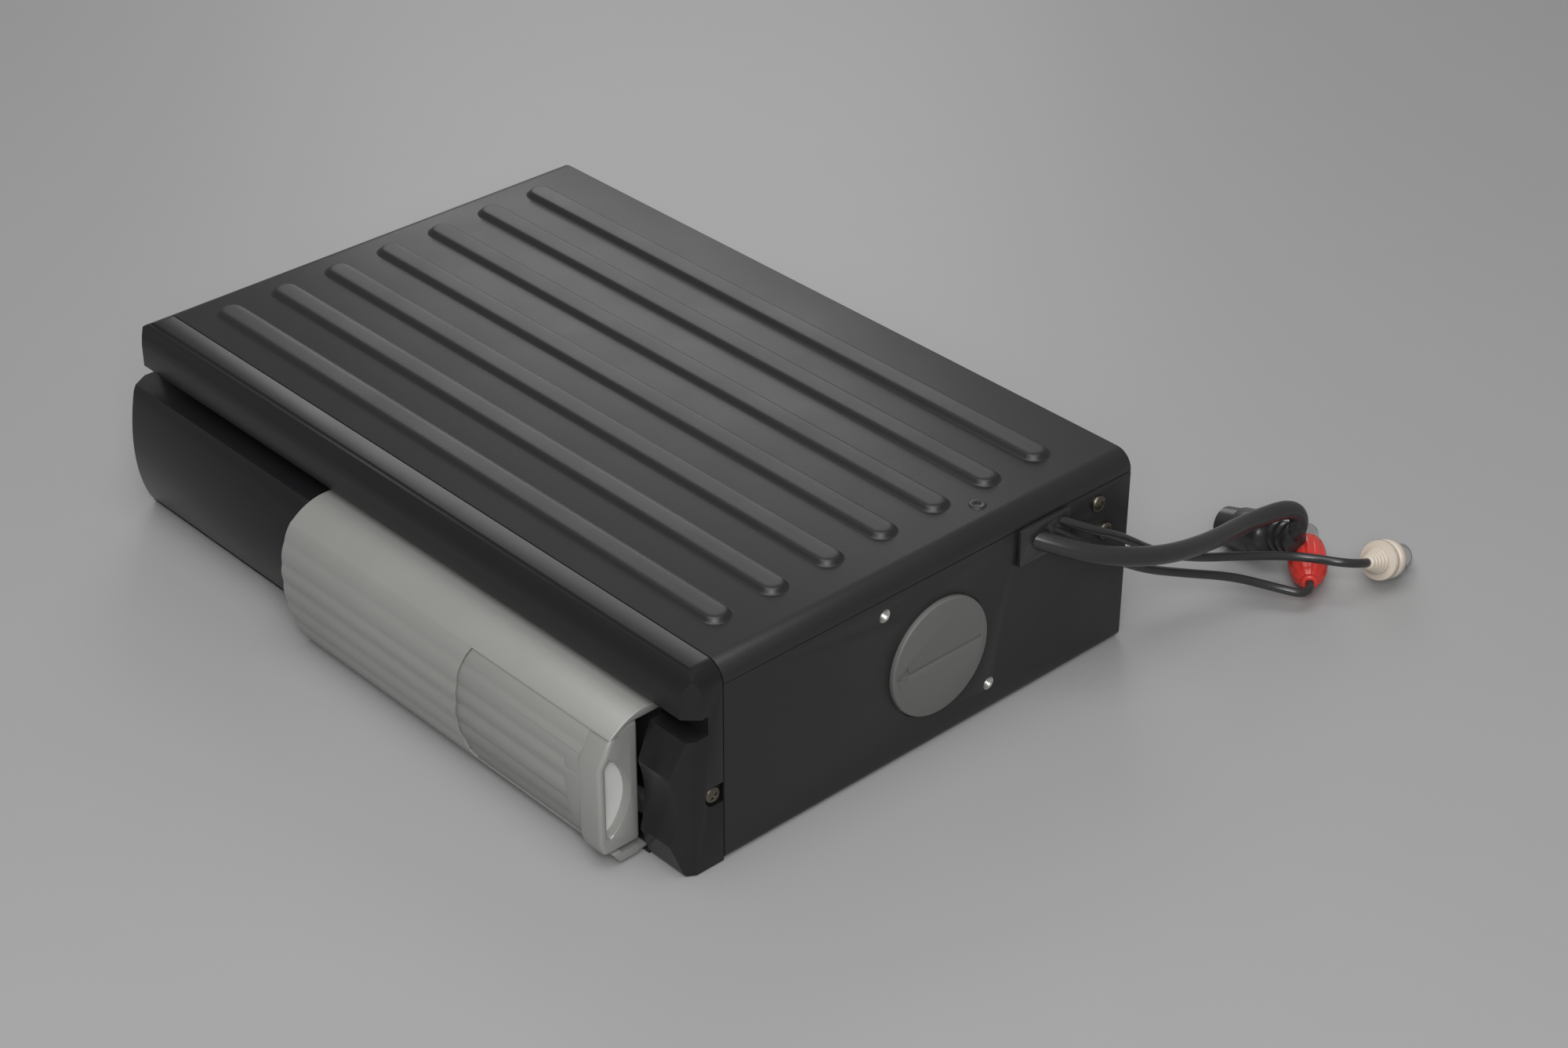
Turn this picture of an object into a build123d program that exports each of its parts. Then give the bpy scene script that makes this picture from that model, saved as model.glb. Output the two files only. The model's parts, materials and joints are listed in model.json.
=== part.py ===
# Slim six-disc car CD changer: a ribbed sheet-steel case, a moulded front bezel with a sliding
# door, a six-tray magazine, and the playing deck with its lift, all as separate pieces.
# Millimetres. +X is to the right seen from the front, -Y is the front, +Z is up.
# The origin is the middle of the footprint, on the surface that the case stands on.
import os
from math import acos, atan2, cos, degrees, hypot, pi, radians, sin, tan

from build123d import *

os.makedirs("parts", exist_ok=True)

# ---------------------------------------------------------------- driving dimensions
# Case
deck_bay = 131.0            # width of the case beyond the tray: the deck's bay and the walls
depth_room = 31.3           # depth of the case beyond the tray, from its rear wall to the seam
case_top = 62.9             # flat of the top cover
sheet = 1.0
cover_skirt = 5.9           # how far the cover laps down the sides
cover_corner = 5.7
case_bend = 2.4             # bend radius along the bottom edges
seam_gap = 0.4

# Ribs pressed up in the cover
rib_count = 7
rib_pitch = 20.1
rib_first = 14.0            # first rib's middle, behind the seam
rib_end_room = 12.5         # flat left between a rib's end and the case's side
rib_width = 9.4
rib_height = 1.6
rib_flank = 1.9             # how far each side leans in over the height

# Bezel
bezel_wall = 2.2
visor_reach = 11.2          # front of the visor, ahead of the seam
visor_bottom = 49.4
visor_round = 5.6
panel_top = 43.8
panel_foot = 1.2
panel_foot_reach = 12.5
panel_reach = 19.0          # most that the left panel bulges ahead of the seam
panel_bulge_z = 26.5
cheek_width = 15.6
corner_side_reach = 9.5     # where the bezel's corner facet leaves the side
recess_back = 5.0           # floor of the channel between visor and panel

# Sliding door
door_gap = 1.5              # between the closed door and the right cheek
door_left_of_middle = 31.0
door_crown = 46.7           # top of the hood where it dives under the visor
door_reach = 28.1           # frontmost point of the door, ahead of the seam
door_belly_z = 27.0
door_foot = 1.0
insert_width = 59.4
insert_top = 41.4
insert_foot = 4.6
grip_width = 9.2
grip_reach = 26.6
slide_gap = 0.4             # clearance all round the sliding pieces

# Magazine and trays
tray_count = 6
tray_size = 124.0
disc_recess_r = 60.6
tray_thick = 2.8
tray_pitch = 4.4
tray_floor = 1.0
tray_gap = 0.35
magazine_wall = 1.2
magazine_inset = 21.0       # from the trays' right side to the case's right side
magazine_lip = 1.5          # how far the magazine's open side reaches past the trays
magazine_front = -2.5       # front face, behind the seam
magazine_nose = 10.0        # depth of the handle block in front of the trays
magazine_foot = 14.6
magazine_crown = 43.4
eject_stroke = 9.0

# Playing deck
spindle_inset = 81.0        # from the case's left side to the spindle
deck_z = 8.0
deck_sheet = 1.2
deck_gap = 4.0              # from the inner frame's left side to the deck
deck_overhang = 20.5        # how far the deck reaches right of the spindle
deck_inset = 10.0           # how much less deep the deck is than a tray, at each side
turntable_r = 15.5
hub_r = 7.4
motor_r = 9.0
lift_travel = 28.6
pin_r = 1.5
pin_offsets = (-41.5, 2.5)  # the lift pins' places from the spindle, left and right
pin_z = 7.4
pin_play = 0.1
cam_slope = 60.0
running = 0.05              # radial clearance of a shaft in its bearing
pickup_inner = 23.0
pickup_travel = 34.0

# Inner frame
frame_inset = 9.0           # from the case's side to the inner frame
frame_z = 3.0
frame_top = 46.0
cam_sheet = 1.2

# Gears
gear_module = 0.8
backlash = 0.16

# Side fittings, measured behind the seam
dial_y = 79.1
dial_z = 29.0
dial_r = 18.3
dial_proud = 1.2
bracket_offset = 21.0       # each bracket hole's distance from the dial, along and up
bracket_hole_r = 2.1        # core of an M5 thread
bracket_collar = 3.0

# Cables
main_cord_d = 5.7
signal_cord_d = 2.7
cord_sides = 10             # the cords' round section is drawn with this many sides

# ---------------------------------------------------------------- derived places
body_width = tray_size + deck_bay
body_depth = tray_size + depth_room
half_width = body_width / 2
rib_length = body_width - 2 * rib_end_room
frame_half = half_width - frame_inset
cheek_left = half_width - cheek_width
door_right = cheek_left - door_gap
door_left = -door_left_of_middle
insert_left = door_right - insert_width
grip_left = door_right - grip_width
magazine_x = half_width - magazine_inset - tray_size / 2
magazine_left = magazine_x - tray_size / 2 - magazine_lip
load_travel = magazine_x + half_width - spindle_inset
rear_y = (body_depth + door_reach) / 2
seam_y = rear_y - body_depth
skirt_z = case_top - cover_skirt


def back(distance):
    """Y of a place that lies this far behind the seam."""
    return seam_y + distance


spindle_x = magazine_x - load_travel
tray_front = magazine_front + magazine_nose
spindle_y = back(tray_front + tray_size / 2)
magazine_right = magazine_x + tray_size / 2 + tray_gap + magazine_wall
magazine_back = tray_front + tray_size + tray_gap + magazine_wall
deck_left = -frame_half + deck_gap
deck_right = spindle_x + deck_overhang
deck_half_depth = tray_size / 2 - deck_inset
pin_xs = [spindle_x + offset for offset in pin_offsets]
exit_z = skirt_z - 6.0      # height at which the cables leave the case


# ---------------------------------------------------------------- helpers
def block(x0, x1, y0, y1, z0, z1):
    """Box between two corners."""
    return Pos((x0 + x1) / 2, (y0 + y1) / 2, (z0 + z1) / 2) * Box(x1 - x0, y1 - y0, z1 - z0)


def rod_z(x, y, z0, z1, r):
    return Pos(x, y, (z0 + z1) / 2) * Cylinder(r, z1 - z0)


def rod_x(x0, x1, y, z, r):
    return Pos((x0 + x1) / 2, y, z) * Rot(0, 90, 0) * Cylinder(r, x1 - x0)


def rod_y(x, y0, y1, z, r):
    return Pos(x, (y0 + y1) / 2, z) * Rot(90, 0, 0) * Cylinder(r, y1 - y0)


def along_x(face, x0, x1):
    """Extrude a YZ face from x0 to x1."""
    return extrude(Pos(x0, 0, 0) * face, amount=x1 - x0, dir=(1, 0, 0))


def yz_face(*edges):
    """Face in the YZ plane; each edge is a line or arc given by (behind seam, z) points."""
    curve = []
    for points in edges:
        spots = [(0, back(d), z) for d, z in points]
        if len(spots) == 3:
            curve.append(ThreePointArc(*spots))
        else:
            curve.append(Line(*spots))
    return make_face(Wire(curve))


def write(name, *solids):
    """Write one node, as one solid or a group of separate solids."""
    shape = solids[0] if len(solids) == 1 else Compound(children=list(solids))
    if len(shape.solids()) == 1:
        shape = shape.solids()[0]
    export_step(shape, f"parts/{name}.step")


def gear(teeth, thick, bore):
    """Spur gear on the Z axis, with its first tooth on +X and its foot at z = 0."""
    pitch_r = gear_module * teeth / 2
    half_tooth = (pi * gear_module / 2 - backlash) / 2
    tip_half = half_tooth - gear_module * tan(radians(20))
    root_half = half_tooth + gear_module * tan(radians(20))
    outline = []
    for i in range(teeth):
        turn = 2 * pi * i / teeth
        for r, half in (
            (pitch_r - 1.2 * gear_module, -root_half),
            (pitch_r + gear_module, -tip_half),
            (pitch_r + gear_module, tip_half),
            (pitch_r - 1.2 * gear_module, root_half),
        ):
            angle = turn + half / r
            outline.append((r * cos(angle), r * sin(angle)))
    blank = extrude(make_face(Polyline(*outline, close=True)), amount=thick)
    if bore:
        blank -= Pos(0, 0, thick / 2) * Cylinder(bore, thick + 2)
    return blank


def rack(teeth, thick):
    """Rack along +X from x = 0, teeth up, pitch line at y = 0, foot of the solid at z = 0."""
    pitch = pi * gear_module
    half_tooth = (pitch / 2 - backlash) / 2
    lean = gear_module * tan(radians(20))
    outline = [(0, -1.25 * gear_module)]
    for i in range(teeth):
        middle = (i + 0.5) * pitch
        outline.append((middle - half_tooth - 1.25 * lean, -1.25 * gear_module))
        outline.append((middle - half_tooth + lean, gear_module))
        outline.append((middle + half_tooth - lean, gear_module))
        outline.append((middle + half_tooth + 1.25 * lean, -1.25 * gear_module))
    outline.append((teeth * pitch, -1.25 * gear_module))
    outline.append((teeth * pitch, -3 * gear_module))
    outline.append((0, -3 * gear_module))
    tidy = [p for i, p in enumerate(outline) if i == 0 or p != outline[i - 1]]
    return extrude(make_face(Polyline(*tidy, close=True)), amount=thick)


# ---------------------------------------------------------------- case
def capsule_xz(x0, z0, x1, z1, r, y0, y1):
    """Round-ended bar seen from the front, from (x0, z0) to (x1, z1), between two y."""
    length = hypot(x1 - x0, z1 - z0)
    lean = degrees(atan2(z1 - z0, x1 - x0))
    bar = extrude(SlotCenterToCenter(length, 2 * r), amount=y1 - y0)
    return Pos((x0 + x1) / 2, y1, (z0 + z1) / 2) * Rot(0, -lean, 0) * Rot(90, 0, 0) * bar


side_holes = [
    (dial_y - bracket_offset, dial_z + bracket_offset + 1.5),
    (dial_y + bracket_offset, dial_z - bracket_offset + 1.5),
]
rear_screws = [(rear_y - seam_y - 13.4, skirt_z - 5.3), (rear_y - seam_y - 9.7, skirt_z - 15.8)]
screw_r = 1.5
screw_head_r = 2.6
dial_gap = 0.45
dial_flange_r = dial_r + 2.2
notch = (110.5, 127.3, exit_z - 4.5)
bezel_screw = (-3.2, 23.1)

shell = block(-half_width, half_width, back(seam_gap), rear_y, 0, skirt_z - 0.2)
shell = fillet(shell.edges().filter_by(Axis.Y).group_by(Axis.Z)[0], case_bend)
hollow = block(
    -half_width + sheet,
    half_width - sheet,
    back(-5),
    rear_y - sheet,
    sheet,
    case_top,
)
hollow = fillet(hollow.edges().filter_by(Axis.Y).group_by(Axis.Z)[0], case_bend - sheet)
chassis = shell - hollow
for side in (-1, 1):
    wall = side * (half_width - sheet)
    inner = side * (half_width - 2.3 * sheet)
    foot = block(min(wall, inner), max(wall, inner), back(4), rear_y - 4, skirt_z - 3, skirt_z - 0.2)
    edge = side * (half_width - 1.3 * sheet)
    lap = block(min(edge, inner), max(edge, inner), back(4), rear_y - 4, skirt_z - 3, skirt_z + 1.6)
    tab_out = side * (half_width - bezel_wall - 0.2)
    tab_in = side * (half_width - bezel_wall - 1.2)
    tab = block(min(tab_in, tab_out), max(tab_in, tab_out), back(-6), back(8), 17, 29)
    joggle = block(min(tab_in, wall), max(tab_in, wall), back(3), back(8), 17, 29)
    chassis += foot + lap + tab + joggle
    for d, z in side_holes:
        collar_in = side * (half_width - bracket_collar)
        chassis += rod_x(min(wall, collar_in), max(wall, collar_in), back(d), z, bracket_hole_r + 1.2)
rear_lip = block(-half_width + 8, half_width - 8, rear_y - 2.3, rear_y - 1.3, skirt_z - 3, skirt_z + 1.6)
rear_foot = block(-half_width + 8, half_width - 8, rear_y - 2.3, rear_y - 1, skirt_z - 3, skirt_z - 0.2)
chassis += rear_lip + rear_foot
for side in (-1, 1):
    deep = side * (half_width - 8)
    out = side * (half_width + 1)
    low, high = min(deep, out), max(deep, out)
    chassis -= rod_x(low, high, back(dial_y), dial_z, dial_r + dial_gap)
    chassis -= rod_x(low, high, back(bezel_screw[0]), bezel_screw[1], screw_r)
    for d, z in side_holes:
        chassis -= rod_x(low, high, back(d), z, bracket_hole_r)
    for d, z in rear_screws:
        chassis -= rod_x(low, high, back(d), z, screw_r)
chassis -= block(half_width - 4, half_width + 1, back(notch[0]), back(notch[1]), notch[2], case_top)
rim_room = 1.8
chassis -= block(
    half_width - 4,
    half_width - sheet,
    back(notch[0] - rim_room),
    back(notch[1] + rim_room),
    notch[2] - rim_room,
    case_top,
)
write("chassis", chassis)


def rib_form(grow, base, height):
    """One rib on the XY plane at z = base, larger by grow all round at its foot and top."""
    low = Pos(0, 0, base) * SlotOverall(rib_length + 2 * grow, rib_width + 2 * grow)
    lean = 2 * rib_flank
    high_slot = SlotOverall(rib_length + 2 * grow - lean, rib_width + 2 * grow - lean)
    return loft([low, Pos(0, 0, base + height) * high_slot], ruled=True)


def rounded_case(inset, z_low, y0, y1):
    """The cover's cross-section, drawn in by inset, as a solid between two y."""
    top = case_top - inset
    side = half_width - inset
    form = block(-side, side, y0, y1, z_low, top)
    long_edges = form.edges().filter_by(Axis.Y).group_by(Axis.Z)[-1]
    return fillet(long_edges, cover_corner - inset)


cover = rounded_case(0, skirt_z, back(seam_gap), rear_y)
cover -= rounded_case(sheet, skirt_z - 1, back(-1), rear_y - sheet)
rib_x = -1.5
for i in range(rib_count):
    place = Pos(rib_x, back(rib_first + i * rib_pitch), 0)
    cover += place * rib_form(0, case_top, rib_height)
pocket = Box(rib_length - rib_width, rib_width - 2 * rib_flank + 0.4, rib_height + 0.01)
pocket_z = case_top - sheet + rib_height / 2
for i in range(rib_count):
    cover -= Pos(rib_x, back(rib_first + i * rib_pitch), pocket_z) * pocket
write("top_cover", cover)

# ---------------------------------------------------------------- bezel
visor_front_z = 54.0
flat_end = 6.6
bead_end = 8.0
visor_face = yz_face(
    [(0, visor_bottom), (0, case_top)],
    [(0, case_top), (-flat_end, case_top)],
    [(-flat_end, case_top), (-flat_end - 0.5, case_top - 0.5)],
    [(-flat_end - 0.5, case_top - 0.5), (-bead_end, case_top - 0.5)],
    [(-bead_end, case_top - 0.5), (-10.6, 58.6), (-visor_reach, visor_front_z)],
    [(-visor_reach, visor_front_z), (-visor_reach, visor_bottom)],
    [(-visor_reach, visor_bottom), (0, visor_bottom)],
)
visor = along_x(visor_face, -half_width, half_width)


def corner_plan(reach, corner_x, side_reach, z0, z1):
    """Block in plan, with both front corners cut off between the front and the sides."""
    outline = [
        (-half_width, back(0)),
        (-half_width, back(-side_reach)),
        (-corner_x, back(-reach)),
        (corner_x, back(-reach)),
        (half_width, back(-side_reach)),
        (half_width, back(0)),
    ]
    return Pos(0, 0, z0) * extrude(make_face(Polyline(*outline, close=True)), amount=z1 - z0)


visor &= corner_plan(visor_reach, half_width - 3.6, 7.3, 0, 70)
round_top = block(-half_width, half_width, back(-30), back(1), -1, case_top)
round_top = fillet(round_top.edges().filter_by(Axis.Y).group_by(Axis.Z)[-1], visor_round)
visor &= round_top

foot = 0.3
panel_face = yz_face(
    [(0, foot), (0, panel_top)],
    [(0, panel_top), (-14.6, panel_top)],
    [(-14.6, panel_top), (-15.9, 42.6)],
    [(-15.9, 42.6), (-panel_reach - 0.4, panel_bulge_z), (-panel_foot_reach, panel_foot)],
    [(-panel_foot_reach, panel_foot), (-panel_foot_reach + 0.8, foot)],
    [(-panel_foot_reach + 0.8, foot), (0, foot)],
)
panel_right = door_left + 0.6
base_reach = 12.7
panel = along_x(panel_face, -half_width, panel_right)
base_right = door_left + 6.5
panel += block(panel_right, base_right, back(-base_reach), back(0), foot, panel_top)
cheek_face = yz_face(
    [(0, foot), (0, panel_top)],
    [(0, panel_top), (-11.5, panel_top - 0.4)],
    [(-11.5, panel_top - 0.4), (-15.7, 32.4)],
    [(-15.7, 32.4), (-13.8, 21.5), (-15.4, 10.2)],
    [(-15.4, 10.2), (-12.6, 1.3)],
    [(-12.6, 1.3), (-12.0, foot)],
    [(-12.0, foot), (0, foot)],
)
cheek = along_x(cheek_face, cheek_left, half_width)
panel &= corner_plan(24.0, half_width - 8.5, corner_side_reach, 0, 70)
cheek &= corner_plan(16.4, half_width - 4.2, corner_side_reach, 0, 70)
lower = panel + cheek
middle = block(-half_width, half_width, back(-recess_back), back(0), foot, visor_bottom + 1)
sill = block(base_right, cheek_left, back(-base_reach), back(0), foot, 4.4)
bezel = visor + lower + middle + sill
# hollow from behind
w = bezel_wall
inside_panel = yz_face(
    [(1, 6.4), (1, panel_top - w)],
    [(1, panel_top - w), (-12.4, panel_top - w)],
    [(-12.4, panel_top - w), (-panel_reach - 0.4 + w, panel_bulge_z), (-12.4, 6.4)],
    [(-12.4, 6.4), (1, 6.4)],
)
bezel -= along_x(inside_panel, -half_width + w, panel_right - w)
bezel -= block(-half_width + w, half_width - w, back(-recess_back + w), back(1), 3.4, case_top - 11)
bezel -= block(-half_width + w, half_width - w, back(-8.6), back(1), visor_bottom + 4.4, case_top - w)
bezel -= block(cheek_left + w, half_width - w, back(-11.3), back(1), 6.4, panel_top - w)
for side in (-1, 1):
    out = side * (half_width + 1)
    deep = side * (half_width - 4)
    low, high = min(out, deep), max(out, deep)
    d, z = bezel_screw
    bezel -= rod_x(low, high, back(d), z, screw_r + 0.05)
    face = side * (half_width - 1.2)
    low, high = min(out, face), max(out, face)
    bezel -= rod_x(low, high, back(d), z, screw_head_r + 0.5)
    bezel -= block(low, high, back(d), back(1), z - screw_head_r - 0.5, z + screw_head_r + 0.5)
# door track: a groove up into the visor and a slot along the sill
groove = (-8.0, -6.0, 51.8)
slot_z = (1.3, 3.1)
track_end = door_right + 0.8
bezel -= block(-half_width - 1, track_end, back(groove[0]), back(groove[1]), visor_bottom - 1, groove[2])
bezel -= block(-half_width - 1, track_end, back(-15), back(-8.6), *slot_z)
bezel -= block(-half_width - 1, half_width - 3.4, back(-20), back(-recess_back), panel_top, visor_bottom)
opening_gap = 1.2
opening = (
    magazine_left - opening_gap,
    magazine_right + opening_gap,
    magazine_foot - opening_gap,
    magazine_crown + opening_gap,
)
bezel -= block(opening[0], opening[1], back(-16), back(1), opening[2], opening[3])
button_x = (door_right - 12.4, door_right - 4.4)
button_z = (5.4, 11.4)
bezel -= block(
    button_x[0] - slide_gap,
    button_x[1] + slide_gap,
    back(-8),
    back(1),
    button_z[0] - slide_gap,
    button_z[1] + slide_gap,
)
write("front_bezel", bezel)

button = block(button_x[0], button_x[1], back(-7.6), back(3.0), *button_z)
button = fillet(button.faces().sort_by(Axis.Y)[0].edges(), 0.8)
button += block(button_x[0] - 1.6, button_x[1] + 1.6, back(-1.6), back(-0.2), *button_z)
write("eject_button", button)

# ---------------------------------------------------------------- door
flute_crown = 0.78          # how far a flute stands out beyond the belly line
belly = -(door_reach - flute_crown)
hood_points = [(-12.3, door_crown), (-18.8, 44.9), (-22.6, 42.4)]
upper_arc = [(-22.6, 42.4), (-26.2, 35.6), (belly, door_belly_z)]
lower_arc = [(belly, door_belly_z), (-26.2, 13.6), (-21.4, door_foot)]


def arc_point(points, share):
    """Point part of the way along the arc through three (y, z) points."""
    curve = ThreePointArc(*[(0, d, z) for d, z in points])
    spot = curve @ share
    return (spot.Y, spot.Z)


valleys = [arc_point(upper_arc, s) for s in (0, 1 / 2.4, 2 / 2.4)]
valleys += [arc_point(lower_arc, s) for s in (0.13, 0.38, 0.64, 0.90)]


def flute_edges(points, rise):
    """Shallow arcs from valley to valley, each standing proud of its chord."""
    edges = []
    for (y0, z0), (y1, z1) in zip(points, points[1:]):
        span = hypot(y1 - y0, z1 - z0)
        nx, nz = (z1 - z0) / span, -(y1 - y0) / span
        middle = ((y0 + y1) / 2 + rise * nx, (z0 + z1) / 2 + rise * nz)
        edges.append([(y0, z0), middle, (y1, z1)])
    return edges


flute_rise = 0.75
tongue = (1.6, 2.8)
inner_hood = [(-16.2, 44.3), (-20.6, 42.1), (-23.4, 37.4)]
inner_lower = [(-23.4, 37.4), (-25.3, 25.0), (-20.4, 3.4)]
front_edges = flute_edges(valleys, flute_rise)
door_profile = yz_face(
    [(-6.4, 44.3), (-6.4, 51.2)],
    [(-6.4, 51.2), (-7.6, 51.2)],
    [(-7.6, 51.2), (-7.6, door_crown)],
    [(-7.6, door_crown), (-12.3, door_crown)],
    hood_points,
    *front_edges,
    [valleys[-1], (-21.4, door_foot)],
    [(-21.4, door_foot), (-14.8, door_foot)],
    [(-14.8, door_foot), (-14.8, tongue[0])],
    [(-14.8, tongue[0]), (-9.2, tongue[0])],
    [(-9.2, tongue[0]), (-9.2, tongue[1])],
    [(-9.2, tongue[1]), (-14.8, tongue[1])],
    [(-14.8, tongue[1]), (-14.8, 3.4)],
    [(-14.8, 3.4), (-20.4, 3.4)],
    [(-20.4, 3.4), (-25.3, 25.0), (-23.4, 37.4)],
    inner_hood[::-1],
    [(-16.2, 44.3), (-6.4, 44.3)],
)
door_solid = along_x(door_profile, door_left, door_right)
# the grip's place: everything between the hood's edge and the foot, right of a waved line
wave = [
    (insert_left + 2.0, insert_top),
    (insert_left - 0.6, 33.0),
    (insert_left - 1.2, 26.0),
    (insert_left - 2.4, 14.0),
    (insert_left + 1.0, insert_foot),
]


def grip_zone(gap):
    """Prism seen from the front that the grip fills, drawn in by gap all round."""
    spots = [(x + gap, 0, z) for x, z in wave]
    spots[0] = (wave[0][0] + gap, 0, insert_top - gap)
    spots[-1] = (wave[-1][0] + gap, 0, insert_foot + gap)
    left = Spline(*spots)
    end = half_width + 2.5
    right = Polyline(spots[-1], (end, 0, insert_foot + gap), (end, 0, insert_top - gap), spots[0])
    return extrude(make_face(Wire([*left.edges(), *right.edges()])), amount=60, both=True)


grip_y = Pos(0, back(-40), 0)
door_shell = door_solid - grip_y * grip_zone(0)
write("door_shell", door_shell)

grip_depth = 0.6            # how far the grip's face sits behind the hood
grip_skin = Pos(0, grip_depth, 0) * along_x(door_profile, door_left, door_right)
grip_skin &= along_x(
    yz_face(
        [(-40, 0), (-40, 60)],
        [(-40, 60), (-14.5, 60)],
        [(-14.5, 60), (-14.5, 0)],
        [(-14.5, 0), (-40, 0)],
    ),
    door_left,
    door_right,
)
grip_skin &= grip_y * grip_zone(0.15)
end_face = yz_face(
    [(-14.0, insert_foot + 0.15), (-14.0, insert_top - 0.15)],
    [(-14.0, insert_top - 0.15), (-22.6, insert_top - 0.15)],
    [(-22.6, insert_top - 0.15), (-grip_reach, 34.0)],
    [(-grip_reach, 34.0), (-grip_reach, 8.6)],
    [(-grip_reach, 8.6), (-25.2, insert_foot + 0.15)],
    [(-25.2, insert_foot + 0.15), (-14.0, insert_foot + 0.15)],
)
grip_block = along_x(end_face, grip_left, door_right - 0.1)
bevel = Plane(origin=(door_right - 3.4, back(-grip_reach), 20), z_dir=(0.6, -0.8, 0))
grip_block = split(grip_block, bisect_by=bevel, keep=Keep.BOTTOM)
recess = yz_face(
    [(-24.6, 12.0), (-24.6, 32.5)],
    [(-24.6, 32.5), (-23.4, 35.6), (-21.4, 35.0)],
    [(-21.4, 35.0), (-16.6, 22.5), (-21.4, 9.6)],
    [(-21.4, 9.6), (-23.6, 9.0), (-24.6, 12.0)],
)
grip = grip_skin + grip_block
grip -= along_x(recess, grip_left + 1.6, door_right + 1)
write("door_grip", grip)

# ---------------------------------------------------------------- side dials
dial_hub_r = 6.0
bracket_in = half_width - 5.3
bracket_out = half_width - 4.1
for name, side in (("right", 1), ("left", -1)):
    face = half_width + dial_proud
    dial = rod_x(half_width - 2.5, face, 0, 0, dial_r)
    dial = chamfer(dial.edges().sort_by(Axis.X)[-1], 0.4)
    dial += rod_x(half_width - 2.5, half_width - sheet - 0.3, 0, 0, dial_flange_r)
    dial += rod_x(bracket_in - 1.6, half_width - 2.5, 0, 0, dial_hub_r)
    dial += block(bracket_in - 1.6, bracket_in - 0.4, -4, 4, -17.5, 8.0)
    shaft = block(face - 0.5, face + 1, -16.2, 15.6, -0.55, 0.55)
    head = Pos(face - 0.5, 0, 0) * extrude(
        make_face(Polyline((0, -17.0, 0), (0, -12.6, 2.6), (0, -12.6, -2.6), close=True)),
        amount=2,
        dir=(1, 0, 0),
    )
    dial -= shaft + head
    bracket = block(bracket_in, bracket_out, -9, 9, -24, 24.5)
    bracket += block(bracket_out, half_width - sheet, -9, 9, 23.0, 24.5)
    bracket += block(bracket_out, half_width - sheet, -9, 9, -24, -22.5)
    bracket -= rod_x(bracket_in - 1, bracket_out + 1, 0, 0, dial_hub_r + running)
    place = Pos(0, back(dial_y), dial_z)
    if side < 0:
        dial = mirror(dial, Plane.YZ)
        bracket = mirror(bracket, Plane.YZ)
    write(f"dial_{name}", place * dial)
    write(f"dial_bracket_{name}", place * bracket)


def screw(length):
    """Small cross-recess screw: head up from z = 0, shank down."""
    rim = RegularPolygon(screw_head_r, 16)
    crown = Pos(0, 0, 1.2) * RegularPolygon(screw_head_r - 0.6, 16)
    body = loft([rim, crown], ruled=True)
    body += extrude(RegularPolygon(screw_r - 0.1, 8), amount=-length)
    for turn in (0, 90):
        body -= Rot(0, 0, turn) * Pos(0, 0, 1.1) * Box(2.6, 0.5, 1.4)
    return body


side_screws = []
bezel_screws = []
for side in (-1, 1):
    for d, z in rear_screws:
        side_screws.append(Pos(side * half_width, back(d), z) * Rot(0, side * 90, 0) * screw(4.2))
    d, z = bezel_screw
    seat = half_width - 1.2
    bezel_screws.append(Pos(side * seat, back(d), z) * Rot(0, side * 90, 0) * screw(3.6))
write("case_screws", *side_screws)
write("bezel_screws", *bezel_screws)

# ---------------------------------------------------------------- inner frame
frame_front = 3.0
frame_back = tray_front + tray_size + 4.5
slot_wall = 1.2
cam_gap = 0.4
frame_floor = frame_z + slot_wall
frame = block(-frame_half, frame_half, back(frame_front), back(frame_back), frame_z, frame_floor)
left_in = -frame_half + slot_wall
frame += block(-frame_half, left_in, back(frame_front), back(frame_back), frame_z, frame_top)
right_in = frame_half - slot_wall
frame += block(right_in, frame_half, back(frame_front), back(frame_back), frame_z, frame_top - 8)
slot_right = deck_right + 2.0
for y0 in (frame_front, frame_back - slot_wall):
    frame += block(-frame_half, slot_right, back(y0), back(y0 + slot_wall), frame_z, frame_top)
frame_opening = deck_half_depth + 2.0
frame -= block(
    deck_left - 0.6,
    deck_right - 11,
    spindle_y - frame_opening,
    spindle_y + frame_opening,
    0,
    frame_floor + 1,
)
frame -= block(-6, 60, spindle_y - 30, spindle_y + 40, 0, frame_floor + 1)
for x in pin_xs:
    for y0, y1 in ((frame_front - 1, 10), (frame_back - 16, frame_back + 1)):
        top = pin_z + lift_travel
        frame -= capsule_xz(x, pin_z, x, top, pin_r + pin_play, back(y0), back(y1))
frame -= block(-frame_half - 1, left_in + 1, back(dial_y - 12), back(dial_y + 12), 10, 36)
frame -= block(right_in - 1, frame_half + 1, back(dial_y - 20), back(dial_y + 20), 8, 60)
write("inner_frame", frame)


def spool_x(x0, x1, y, z):
    """Rubber mount along X: a flange at each end and a thinner waist, with 16 sides."""
    form = None
    for start, end, r in ((x0, x0 + 2.6, 6.5), (x0 + 2.6, x1 - 1.6, 4.6), (x1 - 1.6, x1, 6.5)):
        step = Pos(start, y, z) * Rot(0, 90, 0) * extrude(RegularPolygon(r, 16), amount=end - start)
        form = step if form is None else form + step
    return form


dampers = []
damper_spots = [(20.0, 24.0), (frame_back - 7.0, 24.0)]
for side in (-1, 1):
    for d, z in damper_spots:
        cup = spool_x(frame_half, half_width - sheet, back(d), z)
        dampers.append(cup if side > 0 else mirror(cup, Plane.YZ))
write("rubber_dampers", *dampers)

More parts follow.
